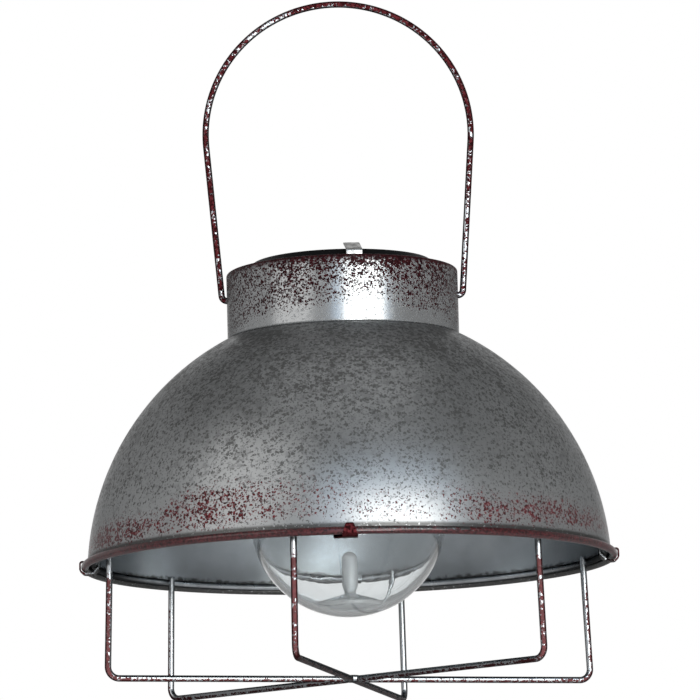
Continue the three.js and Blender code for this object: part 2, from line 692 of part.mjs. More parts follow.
/** Black cover: flange under the tabs, sloped edge, raised top with the panel's recess. */
function lid() {
  const flangeTop = LID_Z + LID_FLANGE;
  const skirtR = DRUM_INNER * Math.cos(Math.PI / NECK_SEGMENTS) - GAP;
  const skirtZ = LID_Z - LID_SKIRT_H;
  const slopeFoot = LID_BOSS_R + LID_CHAMFER;
  const roof = LID_TOP - LID_ROOF;
  const cover = turned([
    [0, LID_TOP],
    [LID_BOSS_R, LID_TOP],
    [slopeFoot, flangeTop],
    [LID_R, flangeTop],
    [LID_R, LID_Z],
    [skirtR, LID_Z],
    [skirtR, skirtZ],
    [skirtR - LID_SKIRT_T, skirtZ],
    [skirtR - LID_SKIRT_T, flangeTop - LID_SKIN],
    [LID_BOSS_R - LID_SKIRT_T, roof],
    [0, roof],
  ].reverse(), NECK_SEGMENTS);
  const side = PANEL_SIDE / 2 + GAP;
  const pillars = unitScrewPlaces.map(([x, y]) => post(x, y, skirtZ, roof + 0.5 * LID_ROOF, POST_R));
  const screwHoles = unitScrewPlaces.map(([x, y]) => post(
    x, y, skirtZ - OVERRUN, roof, SCREW_SHANK_R + GAP,
  ));
  const recess = box(-side, side, -side, side, PANEL_Z - GAP, LID_TOP + OVERRUN);
  return geometryOf(cut(joined(cover, ...pillars), recess, ...screwHoles));
}

const solarPanel = () => {
  const side = PANEL_SIDE / 2;
  return box(-side, side, -side, side, PANEL_Z, PANEL_Z + PANEL_T);
};

// ---------------------------------------------------------------- battery
/** Cylindrical cell lying across the unit, with its positive end towards +X. */
function battery() {
  const bodyEnd = CELL_MINUS_X + CELL_BODY_L;
  return new THREE.LatheGeometry([
    vec2(0, CELL_MINUS_X),
    vec2(CELL_R, CELL_MINUS_X),
    vec2(CELL_R, bodyEnd),
    vec2(NIPPLE_R, bodyEnd),
    vec2(NIPPLE_R, CELL_PLUS_X),
    vec2(0, CELL_PLUS_X),
  ], SMALL_SEGMENTS)
    .rotateZ(-Math.PI / 2)
    .translate(0, CELL_Y, CELL_Z);
}

/** Spring of round wire that widens towards the compartment wall. */
function batterySpring() {
  const wireR = SPRING_WIRE / 2 / Math.cos(Math.PI / 6);
  const start = -BAY_HALF_X + GAP + wireR;
  const end = CELL_MINUS_X - GAP - wireR;
  const steps = 8 * SPRING_TURNS;
  const stations = Array.from({ length: steps + 1 }, (_, i) => {
    const t = i / steps;
    const turn = 2 * Math.PI * SPRING_TURNS * t;
    const r = SPRING_WIDE_R + (SPRING_NARROW_R - SPRING_WIDE_R) * t;
    return vec3(start + (end - start) * t, CELL_Y + r * Math.cos(turn), CELL_Z + r * Math.sin(turn));
  });
  return wire(stations, SPRING_WIRE, 6);
}

/** Square plate behind the cell's positive end. */
function batteryContact() {
  const half = CELL_R - CONTACT_MARGIN;
  return box(
    CONTACT_X, CONTACT_X + CONTACT_T, CELL_Y - half, CELL_Y + half, CELL_Z - half, CELL_Z + half,
  );
}

/** Flat door with one screw ear; it lies flush in the drum's floor. */
function batteryDoor() {
  const plate = doorBlock(0, DRUM_Z, DRUM_Z + DOOR_T);
  const hole = post(
    DOOR_EAR_X, DOOR_EAR_Y, DRUM_Z - OVERRUN, DRUM_Z + DOOR_T + OVERRUN, SCREW_SHANK_R + GAP,
  );
  return geometryOf(cut(plate, hole));
}

const doorScrew = () => screw(DOOR_EAR_X, DOOR_EAR_Y, DRUM_Z - GAP, SMALL_SCREW_L);

// ---------------------------------------------------------------- board and switch
/** Circuit board, held by the stakes of the standoffs. */
function board() {
  const top = BOARD_Z + BOARD_T;
  const plate = box(-BOARD_HALF_X, BOARD_HALF_X, -BOARD_FRONT, BOARD_BACK, BOARD_Z, top);
  const holes = standoffPlaces.map(([x, y]) => post(
    x, y, BOARD_Z - OVERRUN, top + OVERRUN, STAKE_R + GAP,
  ));
  return geometryOf(cut(solid(plate), ...holes));
}

const knobReach = KNOB_L / 2 + KNOB_FLANGE;

/** Switch case, open below, in which the knob's flange slides. */
function switchBody() {
  const left = -SWITCH_L / 2 + SWITCH_TRAVEL / 2;
  const block = box(
    left, left + SWITCH_L,
    SWITCH_Y - SWITCH_W / 2, SWITCH_Y + SWITCH_W / 2, SWITCH_Z, SWITCH_TOP,
  );
  const track = box(
    -knobReach - GAP, knobReach + SWITCH_TRAVEL + GAP,
    SWITCH_Y - KNOB_W / 2 - KNOB_FLANGE - GAP, SWITCH_Y + KNOB_W / 2 + KNOB_FLANGE + GAP,
    SWITCH_Z - OVERRUN, SWITCH_TOP - SWITCH_WALL,
  );
  return geometryOf(cut(solid(block), track));
}

/** Knob at the off end of its slot: stem through the floor, flange inside the case. */
function switchKnob() {
  const stem = box(
    -KNOB_L / 2, KNOB_L / 2, SWITCH_Y - KNOB_W / 2, SWITCH_Y + KNOB_W / 2,
    DRUM_Z - KNOB_PROUD, SWITCH_TOP - SWITCH_WALL - GAP,
  );
  const flange = box(
    -knobReach, knobReach,
    SWITCH_Y - KNOB_W / 2 - KNOB_FLANGE, SWITCH_Y + KNOB_W / 2 + KNOB_FLANGE,
    SWITCH_Z, SWITCH_Z + KNOB_FLANGE_T,
  );
  return geometryOf(joined(stem, flange));
}

// ---------------------------------------------------------------- socket, LED and bulb
/** Cup that hangs under the drum on two ears and takes the bulb's neck. */
function socket() {
  const top = SOCKET_TOP;
  const plate = top - SOCKET_PLATE;
  const cup = turned([
    [LEAD_HOLE_R, top],
    [LEAD_HOLE_R, plate],
    [SOCKET_BORE, plate],
    [SOCKET_BORE, top - SOCKET_H],
    [SOCKET_R, top - SOCKET_H],
    [SOCKET_R, top - SOCKET_H + SOCKET_RIM_H],
    [SOCKET_R - SOCKET_RIM, top - SOCKET_H + 2 * SOCKET_RIM_H],
    [SOCKET_R - SOCKET_RIM, top],
  ], BULB_SEGMENTS);
  const ears = [1, -1].map((side) => box(
    ...[side * (SOCKET_BORE + 0.5 * SOCKET_WALL), side * (SOCKET_EAR + SOCKET_EAR_W / 2)]
      .sort((a, b) => a - b),
    -SOCKET_EAR_W / 2, SOCKET_EAR_W / 2, plate, top,
  ));
  const holes = [1, -1].map((side) => post(
    side * SOCKET_EAR, 0, plate - OVERRUN, top + OVERRUN, SCREW_SHANK_R + GAP,
  ));
  return geometryOf(cut(joined(cup, ...ears), ...holes));
}

const socketScrew = (side) => screw(
  side * SOCKET_EAR, 0, SOCKET_TOP - SOCKET_PLATE - GAP, SMALL_SCREW_L,
);

/** White disc that carries the LED above the open end of the neck. */
const ledHolder = () => turned([
  [LED_R + GAP, HOLDER_Z],
  [NECK_R, HOLDER_Z],
  [NECK_R, HOLDER_Z + HOLDER_T],
  [LED_R + GAP, HOLDER_Z + HOLDER_T],
], SMALL_SEGMENTS);

/** Round-nosed LED that points down, with two leads up to the circuit board. */
function led() {
  const flangeZ = HOLDER_Z + HOLDER_T + GAP;
  const tipZ = flangeZ - LED_L;
  const lens = turned([
    [0, tipZ],
    ...arc(0, tipZ + LED_R, LED_R, -60, 0, 3),
    [LED_R, flangeZ],
    [LED_FLANGE_R, flangeZ],
    [LED_FLANGE_R, flangeZ + LED_FLANGE_T],
    [0, flangeZ + LED_FLANGE_T],
  ], SMALL_SEGMENTS);
  const leads = [1, -1].map((side) => box(
    (side * LEAD_PITCH - LEAD_T) / 2, (side * LEAD_PITCH + LEAD_T) / 2, -LEAD_T / 2, LEAD_T / 2,
    flangeZ + 0.5 * LED_FLANGE_T, BOARD_Z - GAP,
  ));
  return geometryOf(joined(lens, ...leads));
}

/** One wall of the bulb, from the bottom up to the neck's end. */
function bulbWall(inset) {
  const sphere = BULB_R - inset;
  const neck = NECK_R - inset;
  const fillet = NECK_FILLET + inset;
  const reach = sphere + fillet;
  const filletZ = BULB_Z + Math.sqrt(reach ** 2 - (neck + fillet) ** 2);
  const meet = THREE.MathUtils.radToDeg(Math.atan2(filletZ - BULB_Z, neck + fillet));
  return [
    ...arc(0, BULB_Z, sphere, -90, meet, 10),
    ...arc(neck + fillet, filletZ, fillet, 180 + meet, 180, 3).slice(1),
    [neck, NECK_Z],
  ];
}

const bulb = () => turned([...bulbWall(0), ...bulbWall(BULB_WALL).reverse()], BULB_SEGMENTS);

/** Frosted pin that stands on a round foot inside the bottom of the bulb. */
function diffuserPin() {
  const bowl = (BULB_R - BULB_WALL) * Math.cos(Math.PI / BULB_SEGMENTS) - GAP;
  const edge = THREE.MathUtils.radToDeg(Math.acos(PIN_FOOT_R / bowl));
  const edgeZ = BULB_Z - bowl * Math.sin(rad(edge));
  const waistZ = edgeZ + PIN_FOOT_T + PIN_CONE;
  const tipZ = waistZ + PIN_H;
  return turned([
    ...arc(0, BULB_Z, bowl, -90, -edge, 3),
    [PIN_FOOT_R * 0.98, edgeZ + PIN_FOOT_T],
    [PIN_WAIST_R, waistZ],
    [PIN_R, waistZ + PIN_R],
    ...arc(0, tipZ - PIN_R, PIN_R, 0, 90, 3),
  ], SMALL_SEGMENTS);
}

// ---------------------------------------------------------------- assembly
const lantern = new THREE.Group();

function piece(name, geometry, material, parent = lantern) {
  const mesh = new THREE.Mesh(welded(geometry), material);
  mesh.name = name;
  parent.add(mesh);
  return mesh;
}

/** Copies of one piece, evenly spaced round the Z axis from a first azimuth. */
function ringOf(name, count, firstAzimuth, geometry, material) {
  for (let i = 0; i < count; i += 1) {
    const mesh = piece(`${name}_${i + 1}`, geometry, material);
    mesh.rotation.z = rad(firstAzimuth + (360 * i) / count);
  }
}

piece('dome_shade', shade(), galvanised);
piece('collar', collar(), galvanised);
ringOf('retaining_tab', TAB_COUNT, TAB_ANGLE, retainingTab(), bareStrip);

piece('guard_ring', guardRing(), brightWire);
ringOf('guard_leg', LEG_COUNT, LEG_ANGLE, guardLeg(), rustyWire);
piece('guard_hub', guardHub(), brightWire);
ringOf('rim_clip', CLIP_COUNT, 0, rimClip(), rustyWire);

piece('bail', bail(), rustyWire);

piece('seat_gasket', gasket(), foam);
piece('unit_housing', housing(), blackPlastic);
unitScrewPlaces.forEach((place, i) => piece(`unit_screw_${i + 1}`, unitScrew(place), screwSteel));
piece('solar_lid', lid(), blackPlastic);
piece('solar_panel', solarPanel(), siliconCell);
piece('circuit_board', board(), boardGreen);
piece('switch_body', switchBody(), blackPlastic);
piece('switch_knob', switchKnob(), whitePlastic);

piece('battery', battery(), cellSleeve);
piece('battery_spring', batterySpring(), brightWire);
piece('battery_contact', batteryContact(), brass);
piece('battery_door', batteryDoor(), blackPlastic);
piece('door_screw', doorScrew(), screwSteel);

piece('lamp_socket', socket(), blackPlastic);
[1, -1].forEach((side, i) => piece(`socket_screw_${i + 1}`, socketScrew(side), screwSteel));
piece('led_holder', ledHolder(), whitePlastic);
piece('led', led(), clearPlastic);
piece('bulb', bulb(), clearPlastic);
piece('diffuser_pin', diffuserPin(), frosted);

export default lantern;
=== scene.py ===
"""Hanging lantern: fine surfaces and finishes around the packed frame.

Everything is in metres and in the frame's own axes: +Z up, -Y the front, and Z 0 the plane that
the guard stands on. An azimuth runs from the front (-Y) towards +X. Sizes that the frame holds
are read from its nodes; the others are the properties below.
"""

import json
import math
from functools import partial, reduce

import bpy
import numpy as np
from bpy.props import FloatProperty, FloatVectorProperty, IntProperty, PointerProperty
from mathutils import Matrix, Vector


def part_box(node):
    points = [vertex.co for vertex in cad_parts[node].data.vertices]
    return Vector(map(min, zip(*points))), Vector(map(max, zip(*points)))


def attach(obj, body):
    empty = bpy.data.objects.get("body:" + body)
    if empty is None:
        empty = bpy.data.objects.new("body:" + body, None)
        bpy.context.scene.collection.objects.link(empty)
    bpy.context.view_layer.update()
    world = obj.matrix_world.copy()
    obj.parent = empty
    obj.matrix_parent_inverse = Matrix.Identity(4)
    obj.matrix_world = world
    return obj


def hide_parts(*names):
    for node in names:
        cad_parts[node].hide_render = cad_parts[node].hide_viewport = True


bl_info = {
    "name": "Hanging lantern",
    "version": (1, 0, 0),
    "blender": (4, 5, 0),
    "location": "3D View > Sidebar > Lantern",
    "description": "Makes a domed hanging lantern with a wire guard around its packed frame",
    "category": "Object",
}

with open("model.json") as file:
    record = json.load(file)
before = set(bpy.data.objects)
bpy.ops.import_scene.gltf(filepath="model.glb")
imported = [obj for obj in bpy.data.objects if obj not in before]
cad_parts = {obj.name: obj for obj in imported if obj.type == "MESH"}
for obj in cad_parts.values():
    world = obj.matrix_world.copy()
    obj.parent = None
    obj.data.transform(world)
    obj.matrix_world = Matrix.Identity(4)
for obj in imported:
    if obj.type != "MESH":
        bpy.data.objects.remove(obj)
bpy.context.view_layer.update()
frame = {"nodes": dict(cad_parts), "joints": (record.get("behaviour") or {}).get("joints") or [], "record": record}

MM = 0.001
TAU = 2.0 * math.pi
LANTERN, BAIL, KNOB = "lantern", "bail", "switch_knob"
FINISHES = {}  # the material of each slot, filled by the first operator


# ---------------------------------------------------------------- the frame's sizes
def node_points(node):
    """All the vertices of a CAD node, one row each."""
    mesh = frame["nodes"][node].data
    points = np.empty(3 * len(mesh.vertices), np.float32)
    mesh.vertices.foreach_get("co", points)
    return points.reshape(-1, 3).astype(float)


def low(node):
    """Lowest corner of a node's box."""
    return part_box(node)[0]


def high(node):
    """Highest corner of a node's box."""
    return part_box(node)[1]


def front_radius(node):
    """Outer radius of a node that is turned round the Z axis; its facets start at the front."""
    return -low(node).y


def azimuth_of(node):
    """Azimuth of the plane that halves a node: the direction of its outermost points."""
    x, y, _ = node_points(node).T
    reach = np.hypot(x, y)
    outermost = reach > reach.max() - 0.05 * MM
    return math.atan2(x[outermost].mean(), -y[outermost].mean())


def unturned(node):
    """A node's points turned back to the front, as radius, distance aside and height."""
    azimuth = azimuth_of(node)
    x, y, z = node_points(node).T
    out = x * math.sin(azimuth) - y * math.cos(azimuth)
    aside = x * math.cos(azimuth) + y * math.sin(azimuth)
    return np.stack([out, aside, z], axis=1)


SHADE_TOP = high("dome_shade").z
RIM_Z = low("dome_shade").z
COLLAR_R = front_radius("collar")
COLLAR_LOW, COLLAR_TOP = low("collar").z, high("collar").z
PIVOT = [j for j in frame["joints"] if j["name"] == "bail_hinge"][0]["pos_m"]
WIRE_R = 0.5 * (high("bail").y - low("bail").y)
RING_R = front_radius("guard_ring") - WIRE_R
RING_Z = 0.5 * (low("guard_ring").z + high("guard_ring").z)
WIRE_STEP = 0.0012  # the longest step between two stations along the bail and the legs
LEGS, CLIPS, TABS, SCREWS = (
    [name for name in sorted(frame["nodes"]) if kind in name]
    for kind in ("guard_leg", "rim_clip", "retaining_tab", "screw"))


# ---------------------------------------------------------------- surfaces
def eased(value, start, end):
    """A smooth step from 0 at start to 1 at end: t t (3 - 2 t)."""
    t = np.clip((value - start) / (end - start), 0, 1)
    return t * t * (3 - 2 * t)


def line(start, end, steps):
    """Points from start up to, but without, end."""
    t = np.arange(steps)[:, None] / steps
    return np.asarray(start) * (1 - t) + np.asarray(end) * t


def run_along(path):
    """How far along a path each of its points lies."""
    return np.concatenate([[0], np.cumsum(np.linalg.norm(np.diff(path, axis=0), axis=1))])


def round_axis(table, azimuth):
    """A table's columns at azimuths in degrees, which its first column holds for each row."""
    return [np.interp(azimuth, table[:, 0], column, period=360) for column in table[:, 1:].T]


def arc(centre, radius, start, end, steps):
    """Points of a circle's arc from start to end, in degrees, both ends included."""
    angle = np.radians(np.linspace(start, end, steps + 1))
    return np.asarray(centre) + radius * np.stack([np.cos(angle), np.sin(angle)], axis=1)


def rounded(corners, radii, steps=6):
    """An open outline through corners, each inner one replaced by a circle's arc.

    The arc of radius r touches both sides r tan(turn / 2) away from the corner.
    """
    corners = [np.asarray(c, float) for c in corners]
    radii = np.broadcast_to(radii, len(corners))
    pieces = [corners[0][None]]
    for before, here, after, radius in zip(corners, corners[1:], corners[2:], radii[1:]):
        arriving = (here - before) / np.linalg.norm(here - before)
        leaving = (after - here) / np.linalg.norm(after - here)
        turn = math.acos(np.clip(arriving @ leaving, -1, 1))
        if turn < 1e-4 or radius <= 0:
            pieces.append(here[None])
            continue
        inward = leaving - arriving * (leaving @ arriving)
        inward /= np.linalg.norm(inward)
        angle = np.linspace(0, turn, steps + 1)[:, None]
        start = here - arriving * radius * math.tan(turn / 2)
        pieces.append(start + arriving * radius * np.sin(angle) + inward * radius * (1 - np.cos(angle)))
    pieces.append(corners[-1][None])
    return np.concatenate(pieces)


def resampled(points, spacing):
    """The same path with stations at most a spacing apart, its own points kept."""
    lengths = np.linalg.norm(np.diff(points, axis=0), axis=1)
    counts = np.maximum(np.ceil(lengths / spacing).astype(int), 1)
    where = np.concatenate([np.arange(n) / n + i for i, n in enumerate(counts)] + [[len(counts)]])
    index = np.arange(len(points))
    return np.stack([np.interp(where, index, points[:, k]) for k in range(points.shape[1])], axis=1)


def quads_of(rows, columns, close_rows, close_columns):
    """Corner numbers of the quads between neighbours of a grid, closed on itself where asked."""
    index = np.arange(rows * columns).reshape(rows, columns)
    if close_rows:
        index = np.vstack([index, index[:1]])
    if close_columns:
        index = np.hstack([index, index[:, :1]])
    corners = [index[:-1, :-1], index[1:, :-1], index[1:, 1:], index[:-1, 1:]]
    return np.stack(corners, axis=-1).reshape(-1, 4)


def grid_part(grid, close_rows, close_columns, **marks):
    """A part of a mesh: a grid's points, its quads and a mark for each point."""
    rows, columns = grid.shape[:2]
    marks = {name: np.broadcast_to(value, (rows, columns)).ravel() for name, value in marks.items()}
    return grid.reshape(-1, 3), quads_of(rows, columns, close_rows, close_columns), marks


def spread(profile, segments):
    """A profile's radii and heights, each repeated for every segment of a turn."""
    return tuple(np.repeat(profile[:, k:k + 1], segments, axis=1) for k in (0, 1))


def turned_part(profile, segments, closed=True, **marks):
    """A (radius, height) profile turned about Z: x = r sin a, y = -r cos a, z = height.

    The radius may change with the azimuth: profile is then a pair of (rows, segments) arrays.
    A closed profile's last point joins its first; an open one starts and ends on the axis.
    """
    azimuth = np.arange(segments) * TAU / segments
    radius, height = profile if isinstance(profile, tuple) else spread(profile, segments)
    grid = np.stack([radius * np.sin(azimuth), -radius * np.cos(azimuth), height], axis=-1)
    marks = {name: np.asarray(v)[:, None] if np.ndim(v) == 1 else v for name, v in marks.items()}
    return grid_part(grid, closed, True, **marks)


def swept_part(path, section, across, end_round=0.3 * MM, widths=1.0, offsets=0.0, **marks):
    """A closed section carried along a flat path, with both of its ends rounded off.

    At each station the section's first coordinate runs along across x tangent and its second
    along across, the normal of the path's plane. widths and offsets stretch and move the second
    coordinate along the path. Towards each end the section shrinks as 1 - r (1 - cos q) over
    its size while it slides out by r (1 - sin q), for q from 0 to 75 degrees, and then closes.
    """
    tangent = np.gradient(path, axis=0)
    tangent /= np.linalg.norm(tangent, axis=1)[:, None]
    across = np.asarray(across, float)
    normal = np.cross(across, tangent)
    quarter = np.radians([75, 75, 50, 25, 0])
    shrink = 1 - end_round / np.abs(section).max() * (1 - np.cos(quarter))
    shrink[0] = 0
    inset = end_round * (1 - np.sin(quarter))
    inner, end = len(path) - 2, len(quarter)
    take = np.concatenate([np.zeros(end, int), np.arange(1, inner + 1), np.full(end, inner + 1)])
    scale = np.concatenate([shrink, np.ones(inner), shrink[::-1]])
    slide = np.concatenate([inset, np.zeros(inner), -inset[::-1]])
    centre = path[take] + tangent[take] * slide[:, None]
    drawn = section[None] * scale[:, None, None]
    widths, offsets = (np.broadcast_to(value, len(path))[take, None] for value in (widths, offsets))
    side = drawn[..., 1] * widths + offsets
    grid = centre[:, None] + drawn[..., :1] * normal[take][:, None] + side[..., None] * across
    marks = {name: value[take] for name, value in marks.items()}
    return grid_part(grid, False, True, **marks)


def circle_section(radius, sides):
    """A circle; its first point lies along the section's first coordinate."""
    angle = np.arange(sides) * TAU / sides
    return radius * np.stack([np.cos(angle), np.sin(angle)], axis=1)


def strip_section(thickness, width, corner):
    """A flat strip's section: a rectangle with its four corners rounded."""
    h, w = thickness / 2 - corner, width / 2 - corner
    corners = ((h, w, 0), (-h, w, 90), (-h, -w, 180), (h, -w, 270))
    return np.concatenate([arc((x, y), corner, turn, turn + 90, 3) for x, y, turn in corners])


def block_part(lowest, highest, edge, steps=3):
    """A block with rounded edges: a sphere's octants moved apart to the block's corners."""
    lowest, highest = np.asarray(lowest, float), np.asarray(highest, float)
    quarter = np.linspace(0, 90, steps + 1)
    u = np.radians(np.concatenate([quarter + 90 * k for k in range(4)]))
    v = np.radians(np.concatenate([quarter - 90, quarter]))[:, None]
    ball = np.stack([np.cos(v) * np.cos(u), np.cos(v) * np.sin(u), np.sin(v) + 0 * u], axis=-1)
    signs_x, signs_y = np.repeat([[1, 1], [-1, 1], [-1, -1], [1, -1]], steps + 1, axis=0).T
    signs_z = np.repeat([-1, 1], steps + 1)[:, None]
    signs = np.stack(np.broadcast_arrays(signs_x, signs_y, signs_z), axis=-1)
    grid = (lowest + highest) / 2 + signs * ((highest - lowest) / 2 - edge) + edge * ball
    bottom, top = (np.broadcast_to(row.mean(axis=1, keepdims=True), row.shape)
                   for row in (grid[:1], grid[-1:]))
    return grid_part(np.concatenate([bottom, grid, top]), False, True)


def turned_about(part, azimuth):
    """A part turned about the Z axis."""
    points, quads, marks = part
    c, s = math.cos(azimuth), math.sin(azimuth)
    return points @ np.array([[c, s, 0], [-s, c, 0], [0, 0, 1]]), quads, marks


def at_front(outline):
    """A (radius, height) outline laid in the plane that faces the front: x 0, y = -radius."""
    return np.stack([0 * outline[:, 0], -outline[:, 0], outline[:, 1]], axis=1)


def welded(part):
    """The part with points that coincide merged, and its faces as quads and triangles."""
    points, quads, marks = part
    keys = np.round(points / 1e-7).astype(np.int64)
    _, first, index = np.unique(keys, axis=0, return_index=True, return_inverse=True)
    faces = index.reshape(-1)[quads]
    same = faces == np.roll(faces, -1, axis=1)
    pinches = same.sum(axis=1)
    pinched = faces[pinches == 1]
    triangles = pinched[~same[pinches == 1]].reshape(-1, 3)
    faces = faces[pinches == 0]
    points = points[first]
    a, b, c = (points[faces[:, k]] for k in range(3))
    d = points[faces[:, 3]]
    e, f, g = (points[triangles[:, k]] for k in range(3))
    volume = (a * np.cross(b, c)).sum() + (a * np.cross(c, d)).sum() + (e * np.cross(f, g)).sum()
    if volume < 0:
        faces, triangles = faces[:, ::-1], triangles[:, ::-1]
    return points, faces, triangles, {name: value[first] for name, value in marks.items()}


def add_object(name, data):
    """A new object, at the origin and in the scene."""
    made = bpy.data.objects.new(name, data)
    bpy.context.scene.collection.objects.link(made)
    return made


def mesh_of(name, parts):
    """One mesh made of closed parts, with their marks, smooth but for edges over 40 degrees."""
    solids = [welded(part) for part in parts]
    start = np.cumsum([0] + [len(s[0]) for s in solids])
    points = np.concatenate([s[0] for s in solids])
    quads = np.concatenate([s[1] + n for s, n in zip(solids, start)])
    triangles = np.concatenate([s[2] + n for s, n in zip(solids, start)])
    mesh = bpy.data.meshes.new(name)
    mesh.vertices.add(len(points))
    mesh.vertices.foreach_set("co", points.astype(np.float32).ravel())
    mesh.loops.add(quads.size + triangles.size)
    mesh.loops.foreach_set("vertex_index", np.concatenate([quads.ravel(), triangles.ravel()]))
    mesh.polygons.add(len(quads) + len(triangles))
    starts = [4 * np.arange(len(quads)), quads.size + 3 * np.arange(len(triangles))]
    mesh.polygons.foreach_set("loop_start", np.concatenate(starts))
    mesh.update(calc_edges=True)
    for mark in sorted({m for s in solids for m in s[3]}):
        values = np.concatenate([s[3].get(mark, np.zeros(len(s[0]))) for s in solids])
        data = mesh.attributes.new(mark, "FLOAT", "POINT").data
        data.foreach_set("value", values.astype(np.float32))
    mesh.shade_smooth()
    mesh.set_sharp_from_angle(angle=math.radians(40))
    mesh.validate()
    return mesh


def piece(name, parts, slot, replaced, body=LANTERN):
    """An object in its slot's finish, which rides on a body and stands in for a CAD node."""
    mesh = mesh_of(name, parts if isinstance(parts, list) else [parts])
    mesh.materials.append(FINISHES[slot])
    made = add_object(name, mesh)
    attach(made, body)
    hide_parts(replaced)
    return made


# ---------------------------------------------------------------- shader nodes
FLOAT, VECTOR = "NodeSocketFloat", "NodeSocketVector"


def plug(tree, socket, value):
    """Feeds a socket from an output, or else gives it a value."""
    if isinstance(value, bpy.types.NodeSocket):
        tree.links.new(value, socket)
    else:
        socket.default_value = value


def put(tree, kind, inputs=None, **settings):
    """Adds a node; inputs gives each socket a value or the output that feeds it."""
    node = tree.nodes.new(kind)
    for name, value in settings.items():
        setattr(node, name, value)
    for key, value in (inputs or {}).items():
        plug(tree, node.inputs[key], value)
    return node


def calc(tree, operation, first, second=0.5, clamp=False):
    """One step of arithmetic on values or outputs."""
    node = put(tree, "ShaderNodeMath", {0: first, 1: second}, operation=operation, use_clamp=clamp)
    return node.outputs[0]


def times(tree, *values):
    """The product of values."""
    return reduce(partial(calc, tree, "MULTIPLY"), values)


def plus(tree, *values):
    """The sum of values."""
    return reduce(partial(calc, tree, "ADD"), values)


def larger(tree, *values):
    """The largest of values."""
    return reduce(partial(calc, tree, "MAXIMUM"), values)


def rest_of(tree, share):
    """What a share leaves: 1 - share."""
    return calc(tree, "SUBTRACT", 1.0, share)


def varied(tree, value, drift, least, span):
    """A value that drifts: value (least + span drift)."""
    return times(tree, value, plus(tree, least, times(tree, drift, span)))


def calc_vector(tree, operation, inputs):
    """One step of arithmetic on vectors."""
    return put(tree, "ShaderNodeVectorMath", inputs, operation=operation).outputs[0]


def split_up(tree, vector):
    """The three coordinates of a vector."""
    return put(tree, "ShaderNodeSeparateXYZ", {0: vector}).outputs


def edge_on(tree):
    """0 where a surface faces the eye, and 1 where it is seen edge on."""
    return put(tree, "ShaderNodeLayerWeight", {"Blend": 0.5}).outputs["Facing"]


def ramp(tree, value, low_in, high_in, low_out=0.0, high_out=1.0):
    """A value eased from one range to another."""
    inputs = {0: value, 1: low_in, 2: high_in, 3: low_out, 4: high_out}
    return put(tree, "ShaderNodeMapRange", inputs, interpolation_type="SMOOTHSTEP").outputs[0]


def mix_colour(tree, factor, first, second):
    """The first colour where the factor is 0, and the second where it is 1."""
    inputs = {0: factor, 6: first, 7: second}
    return put(tree, "ShaderNodeMix", inputs, data_type="RGBA").outputs[2]


def mix_value(tree, factor, first, second):
    """The first value where the factor is 0, and the second where it is 1."""
    inputs = {0: factor, 2: first, 3: second}
    return put(tree, "ShaderNodeMix", inputs, data_type="FLOAT").outputs[0]


def rgba(colour):
    """A colour as a shader takes it."""
    return (*colour, 1.0)


def grey(value):
    """A grey as a shader takes it."""
    return (value, value, value, 1.0)


def new_group(name, inputs, outputs):
    """An empty node group: inputs maps names to (kind, default), outputs names to kinds."""
    tree = bpy.data.node_groups.new(name, "ShaderNodeTree")
    for label, (kind, default) in inputs.items():
        socket = tree.interface.new_socket(label, in_out="INPUT", socket_type=kind)
        if default is not None:
            socket.default_value = default
    for label, kind in outputs.items():
        tree.interface.new_socket(label, in_out="OUTPUT", socket_type=kind)
    return tree, tree.nodes.new("NodeGroupInput").outputs, tree.nodes.new("NodeGroupOutput").inputs


def use(tree, group, **inputs):
    """Places a node group in a tree and gives back its output."""
    return put(tree, "ShaderNodeGroup", inputs, node_tree=bpy.data.node_groups[group]).outputs[0]


def make_flecks():
    """Flecks: small ragged spots. Cover 0 leaves none and 1 nearly closes the surface.

    Each cell of a Voronoi pattern, bent a little by noise, holds one spot. Its radius is
    min(0.25 + 0.3 c + 0.6 c^4, 5 c) (0.55 + 0.9 u) cells for the cover c and the cell's chance u.
    """
    tree, given, out = new_group("Flecks", {
        "Vector": (VECTOR, None), "Size": (FLOAT, 0.001), "Cover": (FLOAT, 0.3),
        "Edge": (FLOAT, 0.10), "Seed": (FLOAT, 0.0),
    }, {"Mask": FLOAT})
    scale = calc(tree, "DIVIDE", 1.0, given["Size"])
    shift = put(tree, "ShaderNodeCombineXYZ", {0: given["Seed"], 1: 0.0, 2: 0.0}).outputs[0]
    cells = calc_vector(tree, "SCALE", {0: given["Vector"], 3: scale})
    cells = calc_vector(tree, "ADD", {0: cells, 1: shift})
    noise = put(tree, "ShaderNodeTexNoise", {"Vector": cells, "Scale": 1.6, "Detail": 0.0})
    bend = calc_vector(tree, "SUBTRACT", {0: noise.outputs["Color"], 1: (0.5, 0.5, 0.5)})
    bent = calc_vector(tree, "MULTIPLY_ADD", {0: bend, 1: (1.1, 1.1, 1.1), 2: cells})
    spots = put(tree, "ShaderNodeTexVoronoi", {"Vector": bent, "Scale": 1.0}).outputs
    chance = split_up(tree, spots["Color"])[0]
    cover = given["Cover"]
    fourth = calc(tree, "POWER", cover, 4.0)
    reach = plus(tree, 0.25, times(tree, cover, 0.3), times(tree, fourth, 0.6))
    reach = calc(tree, "MINIMUM", reach, times(tree, cover, 5.0))
    radius = varied(tree, reach, chance, 0.55, 0.9)
    depth = calc(tree, "SUBTRACT", radius, spots["Distance"])
    mask = put(tree, "ShaderNodeMapRange", {0: depth, 1: 0.0, 2: given["Edge"], 3: 0.0, 4: 1.0})
    tree.links.new(mask.outputs[0], out["Mask"])


